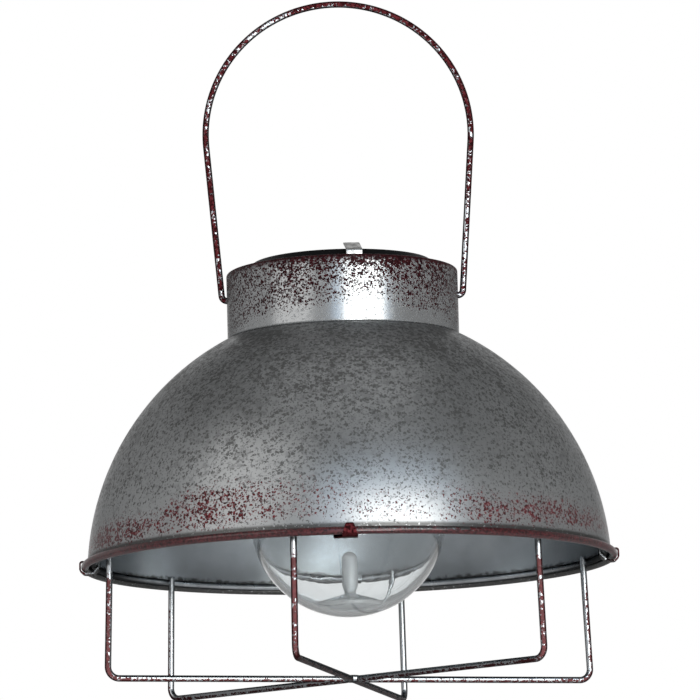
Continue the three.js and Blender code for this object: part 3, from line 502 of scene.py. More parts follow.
def make_clouds():
    """Clouds: a slow, even drift between 0 and 1."""
    tree, given, out = new_group("Clouds", {
        "Vector": (VECTOR, None), "Size": (FLOAT, 0.02), "Contrast": (FLOAT, 1.0),
        "Seed": (FLOAT, 0.0),
    }, {"Value": FLOAT})
    scale = calc(tree, "DIVIDE", 1.0, given["Size"])
    noise = put(tree, "ShaderNodeTexNoise", {
        "Vector": given["Vector"], "Scale": scale, "W": given["Seed"], "Detail": 3.0,
        "Roughness": 0.5,
    }, noise_dimensions="4D").outputs["Fac"]
    centred = times(tree, calc(tree, "SUBTRACT", noise, 0.5), given["Contrast"])
    value = calc(tree, "ADD", times(tree, centred, 2.2), 0.5, clamp=True)
    tree.links.new(value, out["Value"])


def make_grain():
    """Grain: a fine tooth for bumps, in metres of height."""
    tree, given, out = new_group("Grain", {
        "Vector": (VECTOR, None), "Size": (FLOAT, 0.0004), "Depth": (FLOAT, 0.00002),
    }, {"Height": FLOAT})
    scale = calc(tree, "DIVIDE", 1.0, given["Size"])
    noise = put(tree, "ShaderNodeTexNoise", {
        "Vector": given["Vector"], "Scale": scale, "Detail": 2.0, "Roughness": 0.6,
    }).outputs["Fac"]
    tree.links.new(times(tree, noise, given["Depth"]), out["Height"])


def make_spun():
    """Spun: the faint rings that turning leaves, in metres of height along Z and the radius."""
    tree, given, out = new_group("Spun", {
        "Vector": (VECTOR, None), "Pitch": (FLOAT, 0.0012), "Depth": (FLOAT, 0.00001),
    }, {"Height": FLOAT})
    x, y, z = split_up(tree, given["Vector"])
    radius = calc(tree, "SQRT", plus(tree, times(tree, x, x), times(tree, y, y)))
    place = put(tree, "ShaderNodeCombineXYZ", {0: radius, 1: 0.0, 2: z}).outputs[0]
    scale = calc(tree, "DIVIDE", 1.0, given["Pitch"])
    noise = put(tree, "ShaderNodeTexNoise", {
        "Vector": place, "Scale": scale, "Detail": 1.0,
    }).outputs["Fac"]
    tree.links.new(times(tree, noise, given["Depth"]), out["Height"])


def new_material(name):
    """A material with its Principled shader, and its Object coordinates."""
    material = bpy.data.materials.new(name)
    material.use_nodes = True
    tree = material.node_tree
    shader = tree.nodes["Principled BSDF"]
    place = tree.nodes.new("ShaderNodeTexCoord").outputs["Object"]
    return material, tree, shader, place


def feed(tree, shader, **inputs):
    """Gives the shader's sockets values or outputs; Base_Color stands for Base Color."""
    for name, value in inputs.items():
        plug(tree, shader.inputs[name.replace("_", " ")], value)


def bump(tree, height):
    """A normal bent by a height in metres."""
    inputs = {"Height": height, "Strength": 1.0, "Distance": 1.0}
    return put(tree, "ShaderNodeBump", inputs).outputs[0]


def marked(tree, name):
    """The mark that a piece's points carry under a name; 0 where it has none."""
    return put(tree, "ShaderNodeAttribute", attribute_name=name).outputs["Fac"]


# ---------------------------------------------------------------- properties
def length_property(name, description, default):
    """A setting that holds a length in metres."""
    return FloatProperty(
        name=name, description=description, default=default, unit="LENGTH", subtype="DISTANCE")


def colour_property(name, description, default):
    """A setting that holds a colour."""
    return FloatVectorProperty(
        name=name, description=description, default=default, subtype="COLOR")


class LanternShadeSizes(bpy.types.PropertyGroup):
    """Sizes of the shade, its rim and its collar."""

    semi_radius: length_property(
        "Dome radius", "Horizontal half axis of the dome's outer ellipse", 0.1125)
    rise: length_property("Dome rise", "Vertical half axis of the dome's outer ellipse", 0.1146)
    drop: length_property("Centre drop", "The ellipse's centre below the centre of the rim", 0.00575)
    sheet: length_property("Sheet", "Thickness of the sheet", 0.0007)
    bead: length_property("Rim", "Outer diameter of the curled rim", 0.00334)
    curl_gap: length_property("Curl gap", "Slit between the end of the curl and the wall", 0.00035)
    seat_width: length_property("Seat", "Radial width of the collar's seat", 0.0085)
    lip: length_property("Lip", "Outer radius of the collar's rolled top edge", 0.0012)
    foot: length_property("Foot", "Outer radius of the collar's rolled foot", 0.001)
    collar_sheet: length_property("Collar sheet", "Thickness of the collar", 0.0008)
    bail_hole: length_property("Bail hole", "Radius of the holes that take the bail", 0.0019)


class LanternWireSizes(bpy.types.PropertyGroup):
    """Sizes of the bail, the guard, the clips and the tabs."""

    arch_radius: length_property("Bail arch", "Wire-centre radius of the bail's arch", 0.05755)
    bail_bend: length_property(
        "Bail bend", "Wire-centre radius of the bail's bends at the collar", 0.0024)
    side_gap: length_property("Side gap", "Bail leg to collar wall at the pivot", 0.0006)
    leg_bend: length_property("Leg bend", "Wire-centre radius of a leg's corner", 0.0048)
    clip_thickness: length_property("Clip sheet", "Thickness of the clips", 0.0006)
    clip_bend: length_property("Clip bend", "Centre radius of a clip's bends", 0.0011)
    tab_thickness: length_property("Tab sheet", "Thickness of the tabs", 0.0008)
    tab_stand: length_property("Tab stand", "A tab's bend above the collar's top edge", 0.0021)


class LanternUnitSizes(bpy.types.PropertyGroup):
    """Sizes of the lamp unit, its panel, the socket and the bulb."""

    boss_radius: length_property("Cover top", "Radius of the cover's raised top", 0.0385)
    boss_height: length_property("Cover rise", "Height of the raised top over the flange", 0.0044)
    slope: length_property("Cover slope", "Radial width of the slope round the raised top", 0.0051)
    flange: length_property("Flange", "Thickness of the cover's flange", 0.002)
    cell_rows: IntProperty(
        name="Cell strips", description="Strips that the solar panel is cut into", default=4, min=1)
    bulb_wall: length_property("Bulb wall", "Wall of the bulb", 0.0022)
    neck_radius: length_property("Neck", "Outer radius of the bulb's neck", 0.0136)
    neck_fillet: length_property("Neck fillet", "Radius between the bulb's ball and its neck", 0.014)


class LanternColours(bpy.types.PropertyGroup):
    """Colours of the finishes."""

    zinc: colour_property("Zinc", "Grey of the dull zinc finish", (0.400, 0.407, 0.412))
    inner: colour_property("Inner zinc", "Plain satin inside of the dome", (0.385, 0.415, 0.440))
    # the dark specks' colour, also used for the painted shade above the rim and the painted shadow above the
    # guard's ring
    tarnish_and_shade: colour_property("Tarnish", "Dark specks in the zinc", (0.070, 0.068, 0.065))
    rust: colour_property(
        "Rust paint", "Red-brown paint of the rim, specks and wires", (0.072, 0.0125, 0.0150))
    bright: colour_property("Bright wire", "Bare drawn wire", (0.52, 0.54, 0.56))
    crust: colour_property("Crust", "Dark old paint on the collar", (0.008, 0.002, 0.003))
    chalk: colour_property("Chalky paint", "Faded paint on the guard's legs", (0.36, 0.17, 0.17))
    moulding: colour_property("Moulding", "Black plastic of the lamp unit", (0.004, 0.004, 0.0045))


class LanternStage(bpy.types.PropertyGroup):
    """The camera, the floor and the lamps."""

    distance: length_property("Camera distance", "Camera in front of the lantern's axis", 2.470)
    aside: length_property("Camera aside", "Camera to the right of the lantern's axis", -0.0118)
    height: length_property("Camera height", "Camera above the guard's base", -0.2304)
    pitch: FloatProperty(
        name="Pitch", description="Camera's upward tilt", default=0.1504, subtype="ANGLE")
    yaw: FloatProperty(
        name="Yaw", description="Camera's turn to the right", default=0.00586, subtype="ANGLE")
    roll: FloatProperty(
        name="Roll", description="Camera's lean", default=-0.0263, subtype="ANGLE")
    lens: FloatProperty(
        name="Lens", description="Focal length in millimetres", default=297.6,
        subtype="DISTANCE_CAMERA")
    floor: length_property("Floor", "Height of the floor below the hanging lantern", -0.34)


# ---------------------------------------------------------------- finishes
def faded(colour, factor):
    """A colour made darker or paler by a factor, as a shader's colour."""
    return rgba([min(1.0, factor * c) for c in colour])


def zinc_ground(tree, place, colours, dirt):
    """Dull zinc with dark specks: many fine ones, and coarser, fainter ones in drifts.

    dirt, from 0 to 1, says how thickly the specks lie. Gives the colour and the specks' mask.
    """
    drift = use(tree, "Clouds", Vector=place, Size=0.030, Seed=1.0)
    ground = mix_colour(tree, drift, faded(colours.zinc, 0.90), faded(colours.zinc, 1.10))
    patch = use(tree, "Clouds", Vector=place, Size=0.012, Contrast=1.2, Seed=2.0)
    thick = varied(tree, dirt, patch, 0.72, 0.56)
    coarse = use(tree, "Flecks", Vector=place, Size=0.0044, Cover=thick, Edge=0.30, Seed=3.0)
    fine = use(tree, "Flecks", Vector=place, Size=0.0017, Cover=thick, Edge=0.16, Seed=4.0)
    tiny = use(tree, "Flecks", Vector=place, Size=0.0011, Cover=dirt, Edge=0.16, Seed=5.0)
    specks = larger(tree, times(tree, coarse, 0.34), times(tree, fine, 0.80), times(tree, tiny, 0.55))
    return mix_colour(tree, specks, ground, rgba(colours.tarnish_and_shade)), specks


def rust_colour(tree, place, colours, seed):
    """Red-brown paint with darker and lighter grains."""
    mottle = use(tree, "Clouds", Vector=place, Size=0.0011, Contrast=2.2, Seed=seed)
    return mix_colour(tree, mottle, faded(colours.rust, 0.30), faded(colours.rust, 1.90))


def outer_zinc(tree, place, colours, height):
    """The shade's outside: specks that thicken upwards, and painted shade in the crease above the rim.

    Gives the colour and the specks' mask.
    """
    clean_to, dirty_from = RIM_Z + 0.007, RIM_Z + 0.032
    dirt = plus(tree, ramp(tree, height, clean_to, dirty_from, 0.05, 0.44),
                ramp(tree, height, dirty_from, SHADE_TOP, 0.0, 0.22))
    zinc, specks = zinc_ground(tree, place, colours, dirt)
    # painted shade: a dark line in the groove just above the rim, in the specks' dark colour, broken by small
    # flecks of bare zinc
    crease = ramp(tree, height, RIM_Z + 0.0044, RIM_Z + 0.0060, 0.88, 0.0)
    sparkle = use(tree, "Flecks", Vector=place, Size=0.0013, Cover=0.05, Edge=0.15, Seed=10.0)
    crease = times(tree, crease, rest_of(tree, sparkle))
    return mix_colour(tree, crease, zinc, rgba(colours.tarnish_and_shade)), specks


def inner_zinc(tree, place, colours, height):
    """The shade's inside: stained satin zinc, with a ragged painted shadow above the guard's ring."""
    stain = use(tree, "Clouds", Vector=place, Size=0.016, Contrast=1.4, Seed=15.0)
    satin = mix_colour(tree, stain, faded(colours.inner, 0.84), faded(colours.inner, 1.08))
    wander = use(tree, "Clouds", Vector=place, Size=0.0024, Contrast=1.6, Seed=16.0)
    ragged = plus(tree, height, times(tree, 0.0016, wander))
    # painted shadow: a ragged dark line on the inner wall just above the guard's ring, broken by small grains
    shadow = ramp(tree, ragged, RIM_Z + 0.0054, RIM_Z + 0.0070, 0.90, 0.0)
    grains = use(tree, "Flecks", Vector=place, Size=0.0012, Cover=0.12, Edge=0.15, Seed=17.0)
    shadow = times(tree, shadow, rest_of(tree, grains))
    return mix_colour(tree, shadow, satin, rgba(colours.tarnish_and_shade))


def wear_and_glint_spots(tree, place, split):
    """Spots where the rim's paint is worn off, a few all round; and many in a band right of the front, a painted
    highlight: bare zinc placed where the key lamp's reflection lies on the rim.
    """
    x, y, height = split
    # painted highlight: the strip of the rim that mirrors the key lamp, opened to bare zinc so that it glints
    band = times(tree, ramp(tree, x, 0.0, 0.008), ramp(tree, x, 0.046, 0.062, 1.0, 0.0),
                 ramp(tree, y, -0.06, -0.09),
                 ramp(tree, height, RIM_Z + 0.0014, RIM_Z + 0.0020),
                 ramp(tree, height, RIM_Z + 0.0032, RIM_Z + 0.0038, 1.0, 0.0))
    return use(tree, "Flecks", Vector=place, Size=0.0010, Edge=0.15, Seed=8.0,
               Cover=mix_value(tree, band, 0.035, 0.85))


def galvanised_shade(colours):
    """Specked zinc outside, satin zinc inside, red-brown spatter above a painted rim."""
    material, tree, shader, place = new_material("galvanised shade")
    split = split_up(tree, place)
    inside, rim = marked(tree, "inside"), marked(tree, "rim")
    zinc, specks = outer_zinc(tree, place, colours, split[2])
    zinc = mix_colour(tree, inside, zinc, inner_zinc(tree, place, colours, split[2]))
    specks = times(tree, specks, rest_of(tree, inside))
    patch = use(tree, "Clouds", Vector=place, Size=0.007, Contrast=1.5, Seed=6.0)
    cover = varied(tree, marked(tree, "spatter"), patch, 0.84, 0.30)
    dots = use(tree, "Flecks", Vector=place, Size=0.00115, Cover=cover, Edge=0.14, Seed=7.0)
    # the rim's paint, opened by real wear and by the bare strip of the painted highlight
    painted = times(tree, rim, rest_of(tree, wear_and_glint_spots(tree, place, split)))
    paint = larger(tree, dots, painted)
    rust = rust_colour(tree, place, colours, 9.0)
    rust = mix_colour(tree, times(tree, rim, 0.42), rust, faded(colours.rust, 0.32))
    coat = times(tree, painted, ramp(tree, edge_on(tree), 0.45, 0.80, 1.0, 0.05))
    satin = mix_value(tree, inside, mix_value(tree, specks, 0.30, 0.46), 0.24)
    tooth = use(tree, "Grain", Vector=place, Size=0.0011, Depth=0.00012)
    rings = use(tree, "Spun", Vector=place, Pitch=0.0016, Depth=0.000004)
    relief = plus(tree, rings, times(tree, paint, 0.00002), times(tree, painted, tooth))
    feed(tree, shader,
         Base_Color=mix_colour(tree, paint, zinc, rust),
         Metallic=mix_value(tree, paint, mix_value(tree, specks, 0.86, 0.70), times(tree, coat, 0.22)),
         Roughness=mix_value(tree, paint, satin, 0.30),
         Specular_IOR_Level=0.2, Specular_Tint=grey(0.58),
         Coat_Weight=coat, Coat_Roughness=0.10,
         Normal=bump(tree, relief))
    return material


def galvanised_collar(colours):
    """Specked zinc under dark red spatter that closes up towards the top edge."""
    material, tree, shader, place = new_material("galvanised collar")
    zinc, specks = zinc_ground(tree, place, colours, 0.20)
    zinc = mix_colour(tree, 0.50, zinc, faded(colours.zinc, 1.22))
    patch = use(tree, "Clouds", Vector=place, Size=0.009, Contrast=1.4, Seed=11.0)
    cover = varied(tree, marked(tree, "spatter"), patch, 0.84, 0.30)
    dots = use(tree, "Flecks", Vector=place, Size=0.00088, Cover=cover, Edge=0.10, Seed=12.0)
    paint = larger(tree, dots, marked(tree, "rim"))
    rust = mix_colour(tree, 0.76, rust_colour(tree, place, colours, 13.0), rgba(colours.crust))
    rings = use(tree, "Spun", Vector=place, Pitch=0.0016, Depth=0.000004)
    feed(tree, shader,
         Base_Color=mix_colour(tree, paint, zinc, rust),
         Metallic=mix_value(tree, paint, mix_value(tree, specks, 0.88, 0.55), 0.0),
         Roughness=mix_value(tree, paint, mix_value(tree, specks, 0.22, 0.42), 0.42),
         Specular_IOR_Level=0.12, Specular_Tint=grey(0.35),
         Normal=bump(tree, plus(tree, rings, times(tree, paint, 0.00002))))
    return material


def flecked_wire(colours, name, seed):
    """Bright wire under red-brown paint.

    The mark 'cover' says how much of it is painted, and 'pale' how chalky that paint is. A wire
    mirrors its dark surroundings along both edges, so its colour falls off there.
    """
    material, tree, shader, place = new_material(name)
    patch = use(tree, "Clouds", Vector=place, Size=0.004, Contrast=1.5, Seed=seed)
    cover = varied(tree, marked(tree, "cover"), patch, 0.80, 0.45)
    flecks = use(tree, "Flecks", Vector=place, Size=0.0010, Cover=cover, Edge=0.12, Seed=seed + 1)
    dark = ramp(tree, edge_on(tree), 0.04, 0.30)
    pale = marked(tree, "pale")
    fall = times(tree, dark, rest_of(tree, times(tree, pale, 1.3)))
    metal = mix_colour(tree, fall, faded(colours.bright, 1.25), faded(colours.bright, 0.04))
    rust = mix_colour(tree, pale, rust_colour(tree, place, colours, seed + 2), rgba(colours.chalk))
    rust = mix_colour(tree, dark, rust, faded(colours.rust, 0.3))
    feed(tree, shader,
         Base_Color=mix_colour(tree, flecks, metal, rust),
         Metallic=rest_of(tree, flecks),
         Roughness=mix_value(tree, flecks, 0.24, 0.34),
         Specular_IOR_Level=0.1, Specular_Tint=grey(0.1),
         Normal=bump(tree, times(tree, flecks, 0.00003)))
    return material


def bright_wire(colours):
    """Bare drawn wire, a little dulled in places, painted darker along its edges: a painted reflection of its dark
    surroundings.
    """
    material, tree, shader, place = new_material("bright wire")
    dull = use(tree, "Clouds", Vector=place, Size=0.005, Contrast=1.2, Seed=21.0)
    metal = mix_colour(tree, dull, faded(colours.bright, 1.20), faded(colours.bright, 0.80))
    # painted reflection: the colour falls off towards the edges, where the wire mirrors its dark surroundings
    dark = ramp(tree, edge_on(tree), 0.25, 0.65)
    feed(tree, shader,
         Base_Color=mix_colour(tree, dark, metal, faded(colours.bright, 0.16)),
         Metallic=1.0, Specular_Tint=grey(0.3),
         Roughness=mix_value(tree, dull, 0.24, 0.42),
         Normal=bump(tree, use(tree, "Grain", Vector=place, Size=0.0008, Depth=0.00001)))
    return material


def plated(name, colour, roughness, seed):
    """Plated or bare bright metal with a fine grain, dulled in places."""
    material, tree, shader, place = new_material(name)
    dull = use(tree, "Clouds", Vector=place, Size=0.002, Contrast=1.3, Seed=seed)
    feed(tree, shader,
         Base_Color=mix_colour(tree, dull, rgba(colour), faded(colour, 0.62)),
         Metallic=1.0, Roughness=mix_value(tree, dull, roughness - 0.08, roughness + 0.12),
         Normal=bump(tree, use(tree, "Grain", Vector=place, Size=0.0005, Depth=0.000007)))
    return material


def moulded(name, colour, roughness, seed, grain=0.00001, shine=0.5):
    """Moulded plastic: a fine tooth, and faint drifts of polish."""
    material, tree, shader, place = new_material(name)
    polish = use(tree, "Clouds", Vector=place, Size=0.012, Contrast=1.0, Seed=seed)
    feed(tree, shader,
         Base_Color=mix_colour(tree, polish, rgba(colour), faded(colour, 1.35)),
         Roughness=mix_value(tree, polish, roughness - 0.06, roughness + 0.08),
         Specular_IOR_Level=shine,
         Normal=bump(tree, use(tree, "Grain", Vector=place, Size=0.0005, Depth=grain)))
    return material


def clear_moulding(name, colour, clarity, roughness=0.0):
    """Clear plastic with a few faint flow waves; what it lacks in clarity is a white haze."""
    material, tree, shader, place = new_material(name)
    wave = use(tree, "Clouds", Vector=place, Size=0.02, Contrast=1.0, Seed=31.0)
    feed(tree, shader, Base_Color=rgba(colour), Metallic=0.0, Roughness=roughness, IOR=1.49,
         Transmission_Weight=clarity,
         Normal=bump(tree, times(tree, wave, 0.00006)))
    return material


def solar_cells(sizes):
    """Dark blue strips between dark gaps, with fine silver fingers, under clear resin.

    A line lies where a coordinate's share of the pitch is within half a width of a whole number.
    """
    material, tree, shader, place = new_material("solar cells")
    x, y, _ = split_up(tree, place)
    side, border = high("solar_panel").x - low("solar_panel").x, 0.002
    gap, bar, finger, finger_pitch = 0.0009, 0.0007, 0.00016, 0.0016
    strip = (side - 2 * border) / sizes.cell_rows
    odd = 0.5 * (sizes.cell_rows % 2)

    def lines(value, pitch, width, shift):
        """1 on lines a pitch apart, and 0 between them."""
        phase = calc(tree, "FRACT", plus(tree, calc(tree, "DIVIDE", value, pitch), shift))
        middle = calc(tree, "ABSOLUTE", calc(tree, "SUBTRACT", phase, 0.5))
        return calc(tree, "GREATER_THAN", middle, 0.5 - width / pitch / 2)

    def past_border(value):
        """1 beyond the outermost cells."""
        return calc(tree, "GREATER_THAN", calc(tree, "ABSOLUTE", value), side / 2 - border)

    gaps = larger(tree, lines(y, strip, gap, odd), past_border(x), past_border(y))
    fingers = lines(x, finger_pitch, finger, 0.0)
    bars = lines(y, strip, bar, odd + 0.5)
    crystal = put(tree, "ShaderNodeTexVoronoi", {"Vector": place, "Scale": 160.0}).outputs["Color"]
    blue = mix_colour(tree, split_up(tree, crystal)[0], rgba((0.006, 0.010, 0.040)),
                      rgba((0.014, 0.024, 0.085)))
    cell = mix_colour(tree, larger(tree, fingers, bars), blue, rgba((0.35, 0.36, 0.38)))
    feed(tree, shader,
         Base_Color=mix_colour(tree, gaps, cell, rgba((0.010, 0.011, 0.014))),
         Roughness=0.35, Coat_Weight=1.0, Coat_Roughness=0.04, Coat_IOR=1.5,
         Normal=bump(tree, use(tree, "Grain", Vector=place, Size=0.006, Depth=0.00002)))
    return material


def paint_finishes(scene):
    """Every finish of the lantern, by the record's slot names."""
    colours = scene.lantern_colours
    for make in (make_flecks, make_clouds, make_grain, make_spun):
        make()
    return {
        "galvanised_shade": galvanised_shade(colours),
        "galvanised_collar": galvanised_collar(colours),
        "rust_speckled_wire": flecked_wire(colours, "rust flecked wire", 41.0),
        "bright_wire": bright_wire(colours),
        "rust_painted_strip": flecked_wire(colours, "rust painted strip", 51.0),
        "bare_strip": plated("bare strip", (0.60, 0.60, 0.59), 0.30, 23.0),
        "black_plastic": moulded("black moulding", colours.moulding, 0.45, 61.0, shine=0.05),
        "foam": moulded("foam", (0.018, 0.018, 0.018), 0.85, 62.0, 0.00008),
        "solar_cell": solar_cells(scene.lantern_unit_sizes),
        "screw_steel": plated("screw steel", (0.50, 0.50, 0.51), 0.3, 63.0),
        "white_plastic": moulded("white moulding", (0.78, 0.78, 0.75), 0.42, 64.0),
        "clear_plastic": clear_moulding("clear moulding", (0.91, 0.93, 0.935), 0.97),
        "frosted_plastic": clear_moulding("frosted moulding", (0.95, 0.97, 0.98), 0.62, 0.12),
        "battery_sleeve": moulded("cell sleeve", (0.05, 0.21, 0.08), 0.3, 66.0),
        "circuit_board": moulded("solder mask", (0.015, 0.09, 0.035), 0.35, 67.0),
        "contact_brass": plated("plated brass", (0.60, 0.45, 0.20), 0.3, 68.0),
    }


# ---------------------------------------------------------------- shade and collar
# where the red-brown spatter lies on the shade: azimuth in degrees, lower and upper edge in
# millimetres above the rim's foot, and how thickly it lies
SHADE_SPATTER = np.array([
    (-178, 6, 19, 0.36), (-150, 5, 22, 0.48), (-120, 4, 17, 0.40), (-100, 5, 20, 0.48),
    (-80, 4, 15, 0.66), (-66, 4, 17, 0.78), (-54, 4, 17, 0.76), (-47, 5, 15, 0.66),
    (-39, 5, 23, 0.66), (-31, 5, 25, 0.68), (-23, 6, 25, 0.60), (-15, 7, 24, 0.46),
    # from about 2 to 18 degrees the spatter is thinned where the key lamp's highlight falls: real spatter, with a
    # painted highlight
    (-6, 7, 25, 0.32), (2, 7, 20, 0.20), (11, 6, 19, 0.10), (18, 6, 20, 0.16),
    (24, 5, 21, 0.48), (30, 4, 20, 0.68), (36, 5, 17, 0.60), (43, 5, 19, 0.70),
    (53, 6, 19, 0.70), (62, 6, 18, 0.66), (72, 7, 17, 0.68), (84, 7, 15, 0.50),
    (104, 5, 20, 0.48), (125, 5, 16, 0.40), (150, 5, 21, 0.48), (168, 6, 17, 0.34),
])
# and on the collar: azimuth, lower edge in millimetres above its foot, and how thickly
COLLAR_SPATTER = np.array([
    (-178, 6, 0.80), (-120, 5, 0.90), (-90, 2, 0.86), (-70, 1, 0.76), (-55, 3, 0.74),
    # from about 3 to 17 degrees the dots start highest, keeping the lower collar clear under the key lamp's
    # highlight: real spatter, with a painted highlight
    (-40, 5, 0.77), (-24, 7, 0.80), (-12, 7, 0.84), (-4, 8, 0.84), (3, 10, 0.82),
    (9, 12, 0.78), (17, 12, 0.80), (23, 9, 0.86), (32, 6, 0.88), (45, 5, 0.86),
    (58, 4, 0.84), (72, 2, 0.70), (90, 3, 0.80), (130, 6, 0.85),
])


def shade_part(sizes, segments=288):
    """The spun shell.

    Its outer wall is an ellipse about (0, centre): r = a sqrt(1 - ((z - centre) / b)^2). The
    inner wall is the same ellipse with both half axes less by the sheet. The rim curls outwards
    round a circle that touches the inner wall, and stops short of the outer one.
    """
    bead, sheet, seat = sizes.bead / 2, sizes.sheet, SHADE_TOP
    rim_z = RIM_Z + bead
    centre = rim_z - sizes.drop
    opening = COLLAR_R - sizes.seat_width
    shoulder_bend, tuck_bend = 0.0016, 0.0012
    curl_start, curl_back, curl_steps = 186, 200, 40
    paint_start, paint_full = 252, 274

    def wall(less, start_z, end_z, steps):
        """The ellipse between two heights, drawn in by less."""
        a, b = sizes.semi_radius - less, sizes.rise - less
        angle = np.linspace(math.asin((start_z - centre) / b), math.asin((end_z - centre) / b), steps)
        return np.stack([a * np.cos(angle), centre + b * np.sin(angle)], axis=1)

    inner_foot = wall(sheet, rim_z, rim_z, 1)[0, 0]
    curl = (inner_foot + bead, rim_z)
    outer_top = sizes.semi_radius * math.sqrt(1 - ((rim_z + bead - centre) / sizes.rise) ** 2)
    curl_end = 360 + math.degrees(math.acos((outer_top + sizes.curl_gap - curl[0]) / bead))
    outer = wall(0, rim_z + 0.1 * bead, seat - 0.0012, 120)
    inner = wall(sheet, rim_z, seat - sheet - 0.0010, 110)[::-1]
    shoulder = rounded([outer[-1], (COLLAR_R + 0.0003, seat), (opening, seat)], shoulder_bend)
    tuck = rounded([(opening, seat - sheet), (COLLAR_R + 0.0001, seat - sheet), inner[0]], tuck_bend)
    outside_curl = arc(curl, bead, curl_start, curl_end, curl_steps)
    inside_curl = arc(curl, bead - sheet, curl_end, curl_back, 24)
    profile = np.concatenate([outer[:-1], shoulder, tuck, inner[1:], outside_curl, inside_curl])
    rows = np.arange(len(profile))
    first_inner = len(outer) - 1 + len(shoulder)
    first_curl = first_inner + len(tuck) + len(inner) - 1
    inside = ((rows >= first_inner) & (rows < first_curl)).astype(float)
    round_curl = np.linspace(curl_start, curl_end, curl_steps + 1)
    rim = np.zeros(len(profile))
    rim[first_curl:first_curl + curl_steps + 1] = eased(round_curl, paint_start, paint_full)
    foot, head, share = round_axis(SHADE_SPATTER, np.degrees(np.arange(segments) * TAU / segments))
    z = (profile[:, 1:] - RIM_Z) / MM
    spatter = share * eased(z, foot - 1, foot + 3) * eased(z, head + 3, head - 5)
    spatter[rows >= len(outer) - 1] = 0
    return turned_part(profile, segments, inside=inside, rim=rim, spatter=spatter)


def open_bail_holes(wall, radius, azimuth, hole, block):
    """Pushes a wall's points aside, in place, from squares onto the two bail holes' circles.

    A point at the square distance c = max(|y|, |h|) from a hole's centre keeps its direction
    and the wall's radius. Up to c = block it lands on the hole's edge, and beyond that the push
    eases out, to none at c = 3 blocks.
    """
    y, h = -COLLAR_R * np.cos(azimuth) + 0 * radius, wall[..., 2] - PIVOT[2]
    square = np.maximum(np.abs(y), np.abs(h))
    ease = np.clip((3 * block - square) / (2 * block), 0, 1)
    push = 1 + (hole / np.maximum(np.hypot(y, h), 1e-9) - 1) * ease
    y, h = y * push, h * push
    out = np.sign(wall[..., 0]) * np.sqrt(np.maximum(radius ** 2 - y ** 2, 0))
    pushed = np.stack([out, y, h + PIVOT[2]], axis=-1)
    wall[:] = np.where((ease > 0)[..., None], pushed, wall)


def with_hole_rims(quads, columns, outer_row, inner_row):
    """A ring's quads without those over its two bail holes, and with quads that line each hole.

    A hole is four columns wide and four rows high. Its middle is at outer_row on the outer wall
    and at inner_row on the inner wall, whose rows run downwards.
    """
    row, column = quads[:, 0] // columns, quads[:, 0] % columns
    steps, two = np.arange(-2, 2), np.full(4, 2)
    sides = ((steps, -two), (two, steps), (-steps, two), (-two, -steps))
    across, up = np.concatenate([np.stack(side, axis=1) for side in sides]).T
    keep, rims = np.ones(len(quads), bool), []
    for middle in (columns // 4, 3 * columns // 4):
        near = (column >= middle - 2) & (column < middle + 2)
        for level in (outer_row, inner_row):
            keep &= ~(near & (row >= level - 2) & (row < level + 2))
        out = (outer_row + up) * columns + middle + across
        back = (inner_row - up) * columns + middle + across
        rims.append(np.stack([out, np.roll(out, -1), np.roll(back, -1), back], axis=1))
    return np.concatenate([quads[keep]] + rims)


def collar_part(sizes, columns=288):
    """The drawn ring: straight walls between a rolled foot and a rolled lip, with two holes."""
    sheet, lip, foot, pivot = sizes.collar_sheet, sizes.lip, sizes.foot, PIVOT[2]
    inner_r, opening = COLLAR_R - sheet, COLLAR_R - sizes.seat_width
    base = SHADE_TOP + 0.00002
    lip_bend, foot_bend = 0.0003, 0.0004
    spatter_top, paint_start, paint_full = 28, 25.0, 28.4
    pitch = TAU * COLLAR_R / columns
    above = np.arange(2, 1 + int((COLLAR_TOP - lip - pivot) / pitch)) * pitch
    below = np.arange(2, 1 + int((pivot - base - foot) / pitch)) * pitch
    z = pivot + np.concatenate([-below[::-1], [-pitch, 0, pitch], above])
    z = np.concatenate([[base + foot], z, [COLLAR_TOP - lip]])
    outer = np.stack([COLLAR_R + 0 * z, z], axis=1)
    inner = np.stack([inner_r + 0 * z, z[::-1]], axis=1)
    roll = arc((COLLAR_R - lip, COLLAR_TOP - lip), lip, 0, 90, 8)[1:]
    under = rounded([(COLLAR_R - lip, COLLAR_TOP - sheet), (inner_r, COLLAR_TOP - sheet), inner[0]],
                    lip_bend, 3)[:-1]
    floor = rounded([inner[-1], (inner_r, base + sheet), (opening, base + sheet)], foot_bend, 3)[1:]
    heel = arc((COLLAR_R - foot, base + foot), foot, -90, 0, 8)[:-1]
    profile = np.concatenate([outer, roll, under, inner, floor, [(opening, base)], heel])
    azimuth = np.arange(columns) * TAU / columns
    radius, height = spread(profile, columns)
    grid = np.stack([radius * np.sin(azimuth), -radius * np.cos(azimuth), height], axis=-1)
    count, first_under = len(z), len(outer) + len(roll)
    first_inner = first_under + len(under)
    for rows in (slice(0, count), slice(first_inner, first_inner + count)):
        open_bail_holes(grid[rows], radius[rows], azimuth, sizes.bail_hole, 2 * pitch)
    level = int(np.argmin(np.abs(z - pivot)))
    quads = quads_of(len(profile), columns, True, True)
    quads = with_hole_rims(quads, columns, level, first_inner + count - 1 - level)
    start, share = round_axis(COLLAR_SPATTER, np.degrees(azimuth))
    climb = (grid[..., 2] - COLLAR_LOW) / MM
    fill = np.clip((climb - start) / (spatter_top - start), 0, 1)
    spatter = share * eased(climb, start - 2, start + 2) * (0.70 + 0.22 * fill + 0.10 * fill ** 4)
    rim = eased(climb, paint_start, paint_full)
    spatter[first_under:] = rim[first_under:] = 0
    return grid.reshape(-1, 3), quads, {"spatter": spatter.ravel(), "rim": rim.ravel()}


